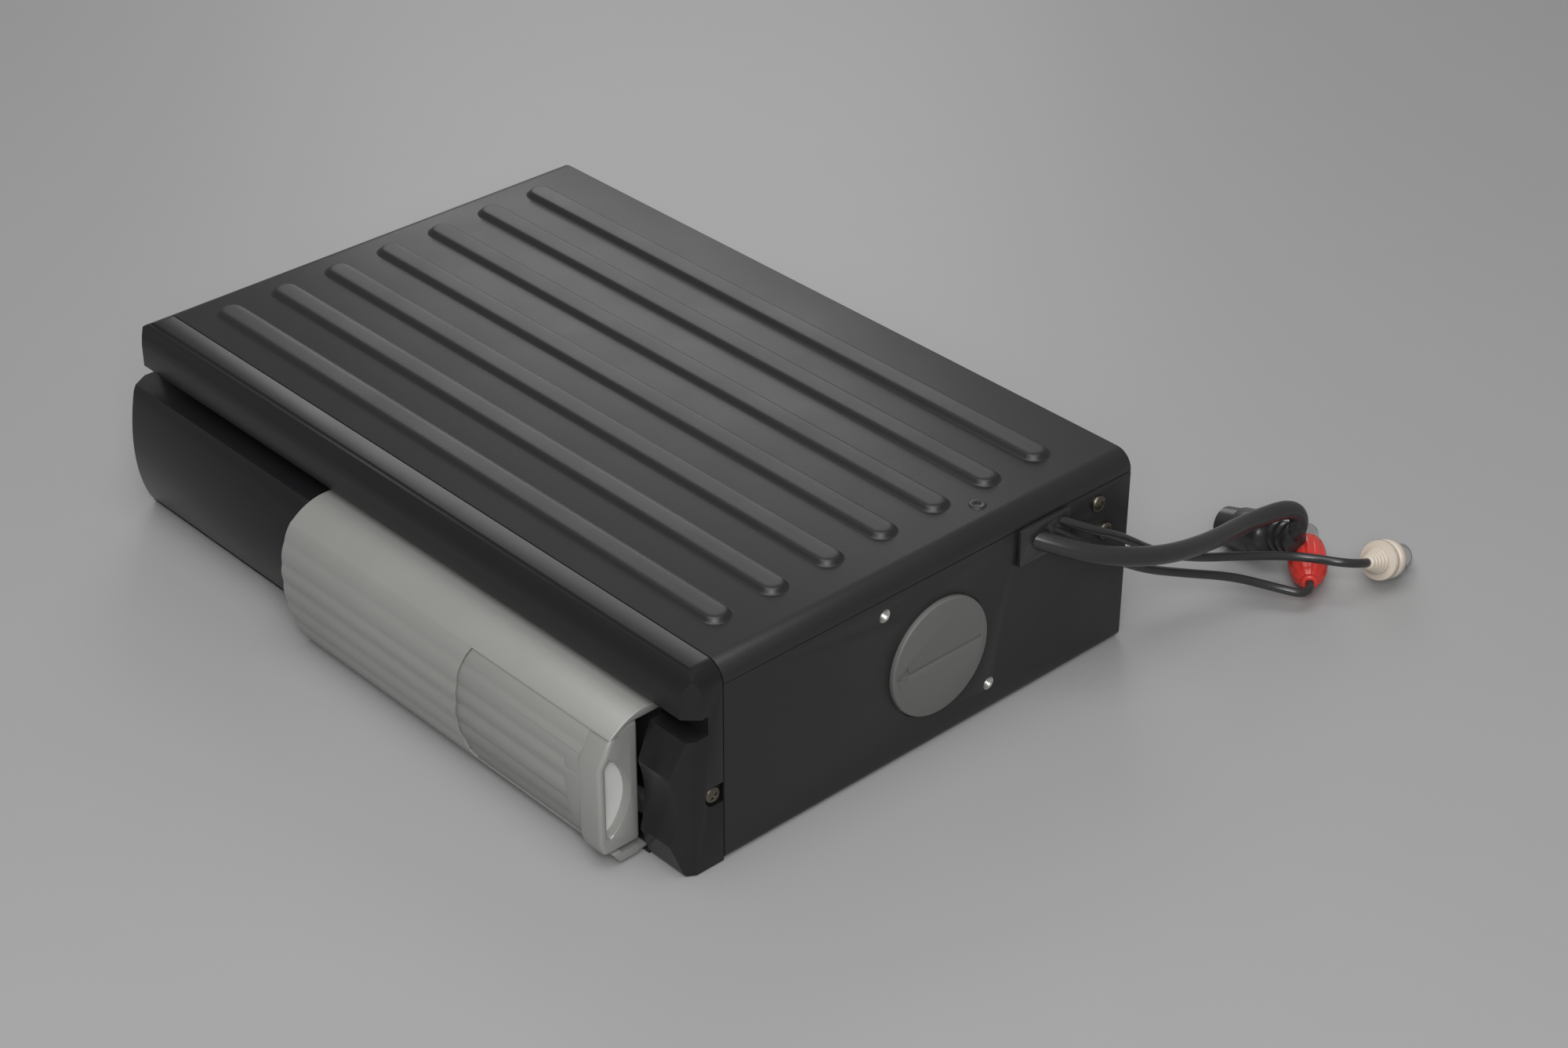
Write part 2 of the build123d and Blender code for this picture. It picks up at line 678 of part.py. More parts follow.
# ---------------------------------------------------------------- lift slider and gears
cam_travel = lift_travel / tan(radians(cam_slope))
wall_front = frame_front + slot_wall + cam_gap
wall_reach = spindle_y - back(wall_front)
slider_z = frame_floor + 0.3
slider_top = slider_z + 1.0
strip_in = wall_reach - 9.0
cam_left = pin_xs[0] - cam_travel - 5.0
cam_right = pin_xs[1] + 5.0
slider = None
for y0 in (spindle_y - wall_reach, spindle_y + wall_reach - cam_sheet):
    wall = block(cam_left, cam_right, y0, y0 + cam_sheet, slider_z, pin_z + lift_travel + 4.5)
    slider = wall if slider is None else slider + wall
slider += block(cam_left, cam_right, spindle_y - wall_reach, spindle_y - strip_in, slider_z, slider_top)
slider += block(cam_left, cam_right, spindle_y + strip_in, spindle_y + wall_reach, slider_z, slider_top)
link = (pin_xs[1] + 7.6, pin_xs[1] + 13.6)
slider += block(link[0], link[1], spindle_y - wall_reach, spindle_y + wall_reach, slider_z, slider_top)
slider += block(cam_right - 1, link[1], spindle_y + strip_in, spindle_y + wall_reach, slider_z, slider_top)
rack_start = 0.0
rack_teeth = 12
rack_end = rack_start + rack_teeth * pi * gear_module
slider += block(cam_right - 1, rack_end, spindle_y - wall_reach, spindle_y - strip_in, slider_z, slider_top)
pitch_line = spindle_y - strip_in + 2.4 * gear_module
slider += Pos(rack_start, pitch_line, slider_z) * rack(rack_teeth, 1.0)
for x in pin_xs:
    for y0, y1 in ((-wall_reach - 1, 1.5 - wall_reach), (wall_reach - 1.5, wall_reach + 1)):
        high = (x - cam_travel, pin_z + lift_travel)
        slot = capsule_xz(high[0], high[1], x, pin_z, pin_r + pin_play, y0, y1)
        slider -= Pos(0, spindle_y, 0) * slot
write("lift_slider", slider)

pinion_teeth = 14
wheel_teeth = 36
motor_teeth = 10
gear_spot = 9 * pi * gear_module
gear_x = rack_start + gear_spot
gear_y = pitch_line + gear_module * pinion_teeth / 2
wheel_z = slider_top + 0.7
compound = Rot(0, 0, -90) * gear(pinion_teeth, 1.4, 0)
compound = Pos(0, 0, slider_z - 0.1) * compound
compound += Pos(0, 0, slider_z + 1.3) * extrude(Circle(4.0), amount=wheel_z - slider_z - 1.3)
compound += Pos(0, 0, wheel_z) * gear(wheel_teeth, 1.4, 0)
axle_r = 1.0
compound -= rod_z(0, 0, 0, 20, axle_r + running)
write("lift_gear", Pos(gear_x, gear_y, 0) * compound)
motor_x = gear_x + gear_module * (wheel_teeth + motor_teeth) / 2
plate_z = wheel_z + 2.0
motor_pinion = Rot(0, 0, 180 + 180 / motor_teeth) * gear(motor_teeth, 1.6, 0)
motor_pinion += Pos(0, 0, 1.6) * extrude(Circle(1.0), amount=3.2)
write("lift_pinion", Pos(motor_x, gear_y, wheel_z - 0.1) * motor_pinion)
gear_plate = block(gear_x - 6, motor_x + 10, gear_y - 7, gear_y + 7, plate_z, plate_z + 1.0)
gear_plate += rod_z(gear_x, gear_y, frame_floor, plate_z, axle_r)
gear_plate += block(motor_x + 6.5, motor_x + 10, gear_y - 7, gear_y + 7, frame_floor, plate_z)
gear_plate -= rod_z(motor_x, gear_y, plate_z - 1, plate_z + 2, 2.2)
write("gear_plate", gear_plate)
can = rod_z(motor_x, gear_y, plate_z + 1.0, magazine_foot - 0.5, 7.0)
can = chamfer(can.edges().sort_by(Axis.Z)[-1], 0.7)
can -= rod_z(motor_x, gear_y, plate_z, plate_z + 3.4, 1.0 + running)
write("lift_motor", can)

# ---------------------------------------------------------------- playing deck
deck_top = deck_z + deck_sheet
flange_z = slider_top + 0.4
y_in, y_out = spindle_y - deck_half_depth, spindle_y + deck_half_depth
deck = block(deck_left, deck_right, y_in, y_out, deck_z, deck_top)
deck += block(deck_left, deck_right, y_in, y_in + deck_sheet, flange_z, deck_top)
deck += block(deck_left, deck_right, y_out - deck_sheet, y_out, flange_z, deck_top)
for x in pin_xs:
    deck += rod_y(x, spindle_y - wall_reach - 2.0, y_in + 0.5, pin_z, pin_r)
    deck += rod_y(x, y_out - 0.5, spindle_y + wall_reach + 2.0, pin_z, pin_r)
pickup_half = 6.2
pickup_x = spindle_x - pickup_inner
slot_left = pickup_x - pickup_half - pickup_travel - 1.0
slot_end = pickup_x + pickup_half + 1.0
deck -= block(slot_left, slot_end, spindle_y - 17, spindle_y + 16, 0, 20)
rod_offset = 21.0
rod_z0 = 5.6
rod_r = 1.5
rail_ends = [(slot_left - 1.4, slot_left + 0.2), (slot_end + 0.4, slot_end + 2.0)]
for y0 in (-rod_offset, rod_offset):
    for x0, x1 in rail_ends:
        deck += block(x0, x1, spindle_y + y0 - 2.6, spindle_y + y0 + 2.6, 2.9, deck_z)
        deck -= rod_x(x0 - 1, x1 + 1, spindle_y + y0, rod_z0, rod_r)
screw_offset = 30.0
screw_z = 5.2
lead_r = 1.6
x0, x1 = rail_ends[0]
deck += block(x0, x1, spindle_y + screw_offset - 3, spindle_y + screw_offset + 3, 2.6, deck_z)
deck -= rod_x(x0 - 1, x1 + 1, spindle_y + screw_offset, screw_z, 1.0 + running)
deck -= rod_z(spindle_x, spindle_y, 0, 20, 3.6)
arm_x = deck_left + 3.0
arm_z = 12.3
ear_y = 20.0
for y0 in (-ear_y, ear_y - 2.0):
    deck += block(arm_x - 2.4, arm_x + 2.2, spindle_y + y0, spindle_y + y0 + 2.0, deck_z, arm_z + 2.0)
deck -= rod_y(arm_x, spindle_y - ear_y - 1, spindle_y + ear_y + 1, arm_z, 1.0)
write("deck_plate", deck)

motor_low = 1.8
motor = rod_z(spindle_x, spindle_y, motor_low, deck_z, motor_r)
motor = chamfer(motor.edges().group_by(Axis.Z)[0], 0.7)
motor += rod_z(spindle_x, spindle_y, deck_z, deck_top + 0.1, 3.6)
motor -= rod_z(spindle_x, spindle_y, motor_low + 1.2, deck_top + 1, axle_r + running)
write("spindle_motor", motor)
platter_z = deck_top + 0.4
rest_z = platter_z + 1.2
profile = Polyline(
    (0, motor_low + 2.0),
    (axle_r, motor_low + 2.0),
    (axle_r, platter_z),
    (turntable_r, platter_z),
    (turntable_r, rest_z),
    (hub_r, rest_z),
    (hub_r - 1.6, rest_z + 1.2),
    (0, rest_z + 1.2),
    close=True,
)
turntable = revolve(Plane.XZ * make_face(profile), Axis.Z)
write("turntable", Pos(spindle_x, spindle_y, 0) * turntable)

pickup = block(
    pickup_x - pickup_half,
    pickup_x + pickup_half,
    spindle_y - rod_offset - 3.0,
    spindle_y + rod_offset + 3.0,
    3.0,
    7.6,
)
pickup += block(
    pickup_x - pickup_half, pickup_x + pickup_half, spindle_y - 14, spindle_y + 13, 7.6, deck_top + 0.2
)
pickup += block(
    pickup_x - 4.0,
    pickup_x + 4.0,
    spindle_y + rod_offset,
    spindle_y + screw_offset + 3.0,
    3.0,
    7.4,
)
pickup += rod_z(pickup_x, spindle_y, deck_top, deck_top + 0.9, 3.2)
pickup -= rod_z(pickup_x, spindle_y, deck_top + 0.5, deck_top + 2, 2.4)
for y0 in (-rod_offset, rod_offset):
    pickup -= rod_x(deck_left, deck_right, spindle_y + y0, rod_z0, rod_r + running)
pickup -= rod_x(deck_left, deck_right, spindle_y + screw_offset, screw_z, lead_r + running)
write("optical_pickup", pickup)
rods = []
for y0 in (-rod_offset, rod_offset):
    rods.append(rod_x(rail_ends[0][0], rail_ends[1][1], spindle_y + y0, rod_z0, rod_r))
write("guide_rods", *rods)
sled_front = slot_end + 0.6
lead = rod_x(rail_ends[0][1] + 0.4, sled_front - 1.0, spindle_y + screw_offset, screw_z, lead_r)
lead += rod_x(rail_ends[0][0], rail_ends[0][1] + 0.5, spindle_y + screw_offset, screw_z, 1.0)
lead += rod_x(sled_front - 1.1, sled_front + 4.0, spindle_y + screw_offset, screw_z, 0.9)
write("lead_screw", lead)
sled = rod_x(sled_front, sled_front + 18.0, spindle_y + screw_offset, screw_z, 5.0)
sled &= block(sled_front, sled_front + 18, spindle_y + 20, spindle_y + 40, 2.2, deck_z)
sled -= rod_x(sled_front - 1, sled_front + 5.0, spindle_y + screw_offset, screw_z, 0.9 + running)
write("sled_motor", sled)

hinge = rod_y(arm_x, spindle_y - ear_y, spindle_y + ear_y, arm_z, 1.0)
write("clamp_hinge_pin", hinge)
arm_low = rest_z + 3.0
arm_top = arm_low + 1.0
knuckle = ear_y - 2.4
arm = rod_y(arm_x, spindle_y - knuckle, spindle_y + knuckle, arm_z, 2.0)
arm += block(arm_x, arm_x + 16, spindle_y - knuckle, spindle_y + knuckle, arm_low, arm_top)
blade = make_face(
    Polyline(
        (arm_x + 14, spindle_y - knuckle),
        (spindle_x, spindle_y - 9),
        (spindle_x, spindle_y + 9),
        (arm_x + 14, spindle_y + knuckle),
        close=True,
    )
)
arm += Pos(0, 0, arm_low) * extrude(blade, amount=1.0)
arm += rod_z(spindle_x, spindle_y, arm_low, arm_top, 9.0)
arm -= rod_y(arm_x, spindle_y - ear_y, spindle_y + ear_y, arm_z, 1.0 + running)
arm -= rod_z(spindle_x, spindle_y, arm_low - 1, arm_top + 1, 2.5)
write("clamp_arm", arm)
puck_low = rest_z + 1.5
puck_profile = Polyline(
    (0, puck_low + 0.4),
    (hub_r + 0.6, puck_low + 0.4),
    (hub_r + 0.6, puck_low),
    (13.0, puck_low),
    (13.0, arm_low - 0.3),
    (2.2, arm_low - 0.3),
    (2.2, arm_top + 0.3),
    (3.6, arm_top + 0.3),
    (3.6, arm_top + 0.8),
    (0, arm_top + 0.8),
    close=True,
)
puck = revolve(Plane.XZ * make_face(puck_profile), Axis.Z)
write("clamp_puck", Pos(spindle_x, spindle_y, 0) * puck)

# ---------------------------------------------------------------- magazine and trays
tray_left = magazine_x - tray_size / 2
tray_right = magazine_x + tray_size / 2
first_tray = magazine_foot + magazine_wall + tray_gap
front_in = back(tray_front - tray_gap)
back_in = back(tray_front + tray_size + tray_gap)
case = block(
    magazine_left,
    magazine_right,
    back(magazine_front),
    back(magazine_back),
    magazine_foot,
    magazine_crown,
)
case = fillet(case.edges().filter_by(Axis.X).group_by(Axis.Y)[0], 1.5)
case -= block(
    magazine_left - 1,
    magazine_right - magazine_wall,
    front_in,
    back_in,
    magazine_foot + magazine_wall,
    magazine_crown - magazine_wall,
)
shelf_reach = 3.2
for i in range(1, tray_count):
    shelf_z = first_tray + i * tray_pitch - tray_gap - 0.9
    case += block(magazine_left, magazine_right - 1, front_in - 0.2, front_in + shelf_reach, shelf_z, shelf_z + 0.9)
    case += block(magazine_left, magazine_right - 1, back_in - shelf_reach, back_in + 0.2, shelf_z, shelf_z + 0.9)
    case += block(
        magazine_right - magazine_wall - 4, magazine_right - 1, front_in, back_in, shelf_z, shelf_z + 0.9
    )
case -= block(
    magazine_x - 30,
    magazine_x + 30,
    back(magazine_front - 1),
    back(magazine_front + 5.5),
    magazine_foot + 6,
    magazine_foot + 20,
)
case -= block(magazine_left - 1, magazine_left + 34, spindle_y - 24, spindle_y + 24, 40, 50)
case -= block(magazine_left - 1, magazine_left + 34, spindle_y - 24, spindle_y + 24, 10, magazine_foot + 1.5)
write("magazine_case", case)
tray_plan = RectangleRounded(tray_size, tray_size, 4.0)
tray_form = extrude(tray_plan, amount=tray_thick)
tray_form -= Pos(0, 0, tray_floor) * extrude(Circle(disc_recess_r), amount=tray_thick)
tray_form -= Pos(0, 0, -1) * extrude(Circle(19.0), amount=tray_thick + 2)
tray_form -= Pos(-40, 0, 0) * Box(80, 38.0, 3 * tray_thick)
tray_form -= Pos(-tray_size / 2 + 20, 0, 0) * Box(42, 52.0, 3 * tray_thick)
for i in range(tray_count):
    spot = Pos(magazine_x, spindle_y, first_tray + i * tray_pitch)
    write(f"tray_{i + 1}", spot * tray_form)

rail_top = magazine_foot - 0.3
rail_left = magazine_left + 8.5
guide = block(rail_left, rail_left + 5.5, back(20), back(magazine_back - 4), frame_floor, rail_top)
guide_end = back(magazine_back - 4)
guide += block(magazine_right - 10.0, magazine_right - 1.0, back(20), guide_end, frame_floor, rail_top)
guide += block(magazine_right - 1.2, magazine_right + 1.9, back(20), guide_end, frame_floor, 8)
wall_x = magazine_right + slide_gap
guide += block(wall_x, wall_x + 1.5, back(20), back(magazine_back - 4), frame_floor, 34)
tie_y = back(magazine_back - 25)
guide += block(rail_left, wall_x, tie_y, tie_y + 6.0, frame_floor, frame_floor + 1.2)
write("magazine_guide", guide)

# ---------------------------------------------------------------- ejector
lever_x = magazine_x + 30.5
lever_r = 40.0
post_r = 2.5
post_y = back(magazine_back + 0.35 + post_r)
lever_y = post_y - eject_stroke / 2
lean = (post_y - lever_y) / lever_r
post_x = lever_x - lever_r * cos(lean)
lever_low = frame_floor + 1.6
bar = extrude(SlotCenterToCenter(lever_r, 8.0), amount=1.5)
bar_place = Pos((lever_x + post_x) / 2, (lever_y + post_y) / 2, lever_low)
lever = bar_place * Rot(0, 0, -degrees(lean)) * bar + rod_z(post_x, post_y, lever_low, 26.0, post_r)
lever -= rod_z(lever_x, lever_y, 0, 20, 1.5 + running)
write("ejector_lever", lever)
stud = rod_z(lever_x, lever_y, frame_floor, lever_low + 2.0, 1.5)
stud += rod_z(lever_x, lever_y, frame_floor, lever_low - 0.3, 3.0)
stud += rod_z(lever_x, lever_y, lever_low + 1.8, lever_low + 2.6, 3.0)
write("ejector_stud", stud)

# ---------------------------------------------------------------- electronics
board_y = back(frame_back + 12.0)
board_left = -frame_half + 14.5
board_right = frame_half - 22.5
board_screws = (board_left + 6.0, board_right - 6.0)
board = block(board_left, board_right, board_y, board_y + 1.6, 6.0, 50.0)
for x in board_screws:
    board -= rod_y(x, board_y - 1, board_y + 3, 45.0, 1.7)
write("circuit_board", board)
chips = [
    block(-80, -66, board_y - 2.0, board_y, 18, 32),
    block(-40, -22, board_y - 1.6, board_y, 26, 36),
    block(4, 16, board_y - 2.0, board_y, 14, 26),
    block(40, 62, board_y - 6.0, board_y, 30, 42),
    rod_y(76, board_y - 8.0, board_y, 20, 4.0),
    rod_y(-4, board_y - 7.0, board_y, 38, 3.2),
]
write("board_components", *chips)
posts = []
for x in board_screws:
    hexagon = Pos(x, rear_y - sheet, 45.0) * Rot(90, 0, 0) * RegularPolygon(3.2, 6)
    post = extrude(hexagon, amount=rear_y - sheet - board_y - 1.6, dir=(0, -1, 0))
    post += rod_y(x, board_y - 0.6, board_y + 1.6, 45.0, 1.7)
    posts.append(post)
write("board_posts", *posts)


# ---------------------------------------------------------------- gland, cords and plugs
def route(points):
    """Places given as (x, behind the seam, z) as points of the shared frame."""
    return [Vector(x, back(d), z) for x, d, z in points]


def bend_radii(points):
    """At each inner point, the radius that uses 45 % of the shorter run beside it."""
    radii = []
    for before, here, after in zip(points, points[1:], points[2:]):
        run_in, run_out = here - before, after - here
        turn = acos(run_in.dot(run_out) / run_in.length / run_out.length)
        radii.append(0.45 * min(run_in.length, run_out.length) / tan(turn / 2))
    return radii


def cord(name, places, diameter):
    """Cord along a route, with its bend radii and volume printed as a check."""
    points = route(places)
    radii = bend_radii(points)
    path = FilletPolyline(*points, radius=radii)
    start = Plane(origin=points[0], z_dir=points[1] - points[0])
    section = RegularPolygon(diameter / 2, cord_sides)
    tube = sweep(start * section, path=path)
    full = section.area * path.length
    runs = [(b - a).length for a, b in zip(points, points[1:])]
    print(name, "length", round(path.length, 1), "volume share", round(tube.volume / full, 4))
    print("  radii / diameter", [round(r / diameter, 1) for r in radii])
    print("  runs", [round(r, 1) for r in runs], "lowest", round(tube.bounding_box().min.Z, 2))
    write(name, tube)
    return points


def bore_at(points, diameter, length):
    """The cord's own section along a route's first run, from its start outward."""
    start = Plane(origin=points[0], z_dir=points[1] - points[0])
    return start * extrude(RegularPolygon(diameter / 2, cord_sides), amount=length)


exit_x = half_width - 1.3
main_route = [
    (exit_x, 115.9, exit_z),
    (exit_x + 7.5, 121.9, exit_z - 2.4),
    (exit_x + 15.0, 132.2, exit_z - 6.4),
    (145.2, 151.2, 38.4),
    (144.0, 173.6, 33.0),
    (139.8, 195.4, 28.5),
    (141.3, 217.6, 25.8),
    (143.1, 216.8, 14.7),
    (133.8, 216.9, 11.8),
]
white_route = [
    (exit_x, 123.8, exit_z + 3.4),
    (exit_x + 7.2, 131.4, exit_z - 0.4),
    (134.6, 144.4, 43.0),
    (136.6, 157.6, 32.8),
    (137.4, 175.0, 23.6),
    (140.6, 194.2, 17.4),
    (149.0, 209.6, 14.8),
    (156.4, 220.6, 12.8),
    (161.6, 227.6, 10.8),
]
red_route = [
    (exit_x, 120.7, exit_z + 1.9),
    (exit_x + 5.2, 129.0, exit_z - 4.0),
    (132.4, 140.4, 37.6),
    (132.4, 156.6, 25.6),
    (134.6, 174.0, 17.4),
    (140.6, 189.6, 12.2),
    (147.6, 199.0, 8.0),
    (158.0, 205.4, 6.6),
    (153.4, 210.5, 6.6),
]
main_points = cord("main_cable", main_route, main_cord_d)
white_points = cord("white_cord", white_route, signal_cord_d)
red_points = cord("red_cord", red_route, signal_cord_d)

gland_in = half_width - 5.0
gland_top = skirt_z - 0.4
gland = block(
    gland_in,
    half_width + dial_proud,
    back(notch[0] + 0.3),
    back(notch[1] - 0.3),
    notch[2] + 0.3,
    gland_top,
)
for low, high in ((gland_in, half_width - sheet - 0.2), (half_width + 0.2, half_width + dial_proud)):
    rim = block(low, high, back(notch[0] - 1.4), back(notch[1] + 1.4), notch[2] - 1.4, gland_top)
    gland += rim
for points, diameter in (
    (main_points, main_cord_d),
    (white_points, signal_cord_d),
    (red_points, signal_cord_d),
):
    gland -= bore_at(points, diameter, 8)
write("cable_gland", gland)


def along(origin, direction, profile):
    """Turned part: profile of (radius, distance) points round an axis from origin."""
    outline = [(0, profile[0][1]), *profile, (0, profile[-1][1])]
    solid = revolve(Plane.XZ * make_face(Polyline(*outline, close=True)), Axis.Z)
    return Plane(origin=origin, z_dir=direction) * solid


main_plug = along(
    main_points[-1],
    main_points[-1] - main_points[-2],
    [(3.6, 0), (6.8, 2.4), (6.8, 12.6), (6.3, 12.6), (6.3, 19.0), (5.7, 19.0), (5.7, 14.5)],
)
write("main_plug", main_plug)


def phono(points, ribs, barrel_r, length):
    """Phono plug: tapered boot, barrel, and the metal collar with its pin."""
    start = 1.7 * ribs
    boot = [(2.2, 0), (2.4 + 0.42 * ribs, start), (barrel_r, start + 0.6), (barrel_r, length)]
    shell = along(points[-1], points[-1] - points[-2], boot)
    collar = along(
        points[-1],
        points[-1] - points[-2],
        [(4.1, length), (4.1, length + 8.0), (3.6, length + 8.0), (3.6, length + 1.0)],
    )
    pin = along(
        points[-1],
        points[-1] - points[-2],
        [(1.6, length + 1.0), (1.6, length + 13.6)],
    )
    return shell, collar + pin


for name, points, ribs, barrel_r, length in (
    ("white_plug", white_points, 5, 5.6, 15.0),
    ("red_plug", red_points, 2, 5.9, 20.0),
):
    shell, contact = phono(points, ribs, barrel_r, length)
    write(name, shell)
    write(f"{name}_contact", contact)

front = min(door_profile.bounding_box().min.Y - seam_y, grip.bounding_box().min.Y - seam_y)
print("front of the door ahead of the seam", round(front, 3), "wanted", -door_reach)
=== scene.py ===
# %% [markdown]
# # A boot-mounted disc changer
# The changer is a flat steel case with a ribbed lid. A moulded black bezel closes its front, and
# a silver door slides sideways over the magazine. Three cables leave a notch in the right side.
# The solid model gives the frame: every piece made here lies where its solid lies. This file
# dresses the outside, and gives a finish to the works inside.

# %% Load the frame
import json
import math

import bpy
from mathutils import Matrix, Vector


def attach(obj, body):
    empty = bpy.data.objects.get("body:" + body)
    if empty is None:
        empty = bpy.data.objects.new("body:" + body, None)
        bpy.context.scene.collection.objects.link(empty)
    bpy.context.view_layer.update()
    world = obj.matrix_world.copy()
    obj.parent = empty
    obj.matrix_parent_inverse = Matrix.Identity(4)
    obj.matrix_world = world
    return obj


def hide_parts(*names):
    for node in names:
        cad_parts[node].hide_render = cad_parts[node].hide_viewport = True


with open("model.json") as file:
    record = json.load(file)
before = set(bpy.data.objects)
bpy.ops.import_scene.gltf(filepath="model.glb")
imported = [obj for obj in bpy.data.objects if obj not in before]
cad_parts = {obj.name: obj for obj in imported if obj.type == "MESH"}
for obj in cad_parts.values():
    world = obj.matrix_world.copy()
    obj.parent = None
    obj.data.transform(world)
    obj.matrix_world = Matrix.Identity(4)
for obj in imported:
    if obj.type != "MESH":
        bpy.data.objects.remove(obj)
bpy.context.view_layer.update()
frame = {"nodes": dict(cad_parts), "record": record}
nodes = frame["nodes"]
print("nodes in the frame:", len(nodes))

# %% [markdown]
# ## Measures
# The case was drawn from the seam between lid and bezel, so places here are written the same
# way: x from the middle, distance behind the seam, and height, all in millimetres.

# %% Measures
MM = 0.001
SEAM_Y = -63.6
HALF_WIDTH = 127.5
REAR = 155.3
LID_TOP = 62.9
SKIRT_Z = 57.0


def at(x, behind, z):
    """A place in metres, from millimetres measured from the seam."""
    return Vector((x * MM, (SEAM_Y + behind) * MM, z * MM))


print("rear wall at", round(at(0, REAR, 0).y, 4))

# %% [markdown]
# ## The camera
# The camera looks down over the right front corner, from about 0.9 m away, with a long lens.
# It comes first, so that each piece can be judged from where the eye stands.

# %% Camera
CAMERA_PLACE = (0.60961, -0.49061, 0.51552)
LENS = 71.14
AZIMUTH = math.radians(47.094)
ELEVATION = math.radians(32.474)
ROLL = math.radians(0.2935)
camera_data = bpy.data.cameras.new("camera")
camera = bpy.data.objects.new("camera", camera_data)
bpy.context.scene.collection.objects.link(camera)
camera_data.sensor_width = 36.0
camera_data.lens = LENS
camera_data.clip_start = 0.01
camera_data.dof.use_dof = False
turn = Matrix.Rotation(AZIMUTH, 4, "Z") @ Matrix.Rotation(math.pi / 2 - ELEVATION, 4, "X")
camera.matrix_world = (
    Matrix.Translation(CAMERA_PLACE) @ turn @ Matrix.Rotation(ROLL, 4, "Z")
)
bpy.context.scene.camera = camera
print("camera is", round(camera.location.length, 3), "m from the origin")

# %% [markdown]
# ## Finishes
# Every finish is a small shader on Object coordinates, which are the part's own metres. A fine
# noise makes the grain of paint or moulding in the bump, and a slow one varies the gloss, the way
# handling does. What is the same all over is set on the shader's own socket.


# %% A finish with grain
HANDLING_SCALE = 38.0
GRAIN_STRENGTH = 0.35


def finish(
    name, colour, rough, metal=0.0, grain=900.0, grain_depth=0.02, wear=0.06, vary=0.05, shine=0.5
):
    """Material with a base colour, a fine grain in the bump and slow variation in the gloss."""
    material = bpy.data.materials.new(name)
    material.use_nodes = True
    tree, links = material.node_tree.nodes, material.node_tree.links
    shader = tree["Principled BSDF"]
    shader.inputs["Metallic"].default_value = metal
    shader.inputs["Specular IOR Level"].default_value = shine
    where = tree.new("ShaderNodeTexCoord")
    slow = tree.new("ShaderNodeTexNoise")
    slow.inputs["Scale"].default_value = HANDLING_SCALE
    slow.inputs["Detail"].default_value = 3.0
    links.new(where.outputs["Object"], slow.inputs["Vector"])
    tone = tree.new("ShaderNodeMapRange")
    tone.inputs["To Min"].default_value = max(0.02, rough - wear)
    tone.inputs["To Max"].default_value = min(1.0, rough + wear)
    links.new(slow.outputs["Fac"], tone.inputs["Value"])
    links.new(tone.outputs["Result"], shader.inputs["Roughness"])
    shade = tree.new("ShaderNodeMix")
    shade.data_type = "RGBA"
    shade.inputs["A"].default_value = (*[c * (1 - vary) for c in colour], 1)
    shade.inputs["B"].default_value = (*[min(1.0, c * (1 + vary)) for c in colour], 1)
    links.new(slow.outputs["Fac"], shade.inputs["Factor"])
    links.new(shade.outputs["Result"], shader.inputs["Base Color"])
    fine = tree.new("ShaderNodeTexNoise")
    fine.inputs["Scale"].default_value = grain
    fine.inputs["Detail"].default_value = 2.0
    links.new(where.outputs["Object"], fine.inputs["Vector"])
    bump = tree.new("ShaderNodeBump")
    bump.inputs["Strength"].default_value = GRAIN_STRENGTH
    bump.inputs["Distance"].default_value = grain_depth * MM
    links.new(fine.outputs["Fac"], bump.inputs["Height"])
    links.new(bump.outputs["Normal"], shader.inputs["Normal"])
    return material


print("handling varies over about", round(1 / HANDLING_SCALE / MM), "mm")

# %% [markdown]
# Steel, mouldings, plastics and rubbers differ in colour, gloss and grain. Each slot of the record
# gets one finish, and every drawn piece takes the finish of its slot, also the works inside.

# %% The finishes, one for each material slot of the record
FINISHES = {
    "black_steel": finish("black_steel", (0.013, 0.013, 0.013), 0.40, grain=1400, grain_depth=0.05),
    "black_moulding": finish("black_moulding", (0.009, 0.009, 0.010), 0.30, grain=1800, shine=0.35),
    "silver_plastic": finish("silver_plastic", (0.35, 0.35, 0.335), 0.40, 0.40, grain=2600),
    "dial_grey": finish("dial_grey", (0.125, 0.125, 0.120), 0.48, grain=2000),
    "plated_steel": finish("plated_steel", (0.56, 0.56, 0.54), 0.34, 0.95, grain=500),
    "screw_steel": finish("screw_steel", (0.16, 0.145, 0.115), 0.34, 1.0, grain=900),
    "black_pvc": finish("black_pvc", (0.024, 0.024, 0.025), 0.27, grain=1500),
    "damper_rubber": finish("damper_rubber", (0.025, 0.025, 0.025), 0.75, grain=700),
    "magazine_black": finish("magazine_black", (0.028, 0.028, 0.030), 0.55, grain=1200),
    "tray_grey": finish("tray_grey", (0.11, 0.11, 0.115), 0.45, grain=900),
    "white_plastic": finish("white_plastic", (0.74, 0.72, 0.66), 0.42, grain=600),
    "gear_natural": finish("gear_natural", (0.72, 0.71, 0.66), 0.40, grain=600),
    "ivory_pvc": finish("ivory_pvc", (0.56, 0.49, 0.41), 0.34, grain=900),
    "red_pvc": finish("red_pvc", (0.60, 0.035, 0.025), 0.30, grain=900),
    "nickel": finish("nickel", (0.70, 0.69, 0.66), 0.16, 1.0, grain=300),
    "motor_can": finish("motor_can", (0.62, 0.62, 0.61), 0.30, 1.0, grain=450),
    "board_green": finish("board_green", (0.035, 0.18, 0.075), 0.40, grain=700),
    "component_black": finish("component_black", (0.03, 0.03, 0.03), 0.55, grain=800),
    "lens_block": finish("lens_block", (0.05, 0.05, 0.055), 0.45, grain=900),
}
slot_of = {row["node"]: row["material_slot"] for row in frame["record"]["subparts"]}
for node, obj in nodes.items():
    obj.data.materials.clear()
    obj.data.materials.append(FINISHES[slot_of[node]])
print("finishes:", len(FINISHES))

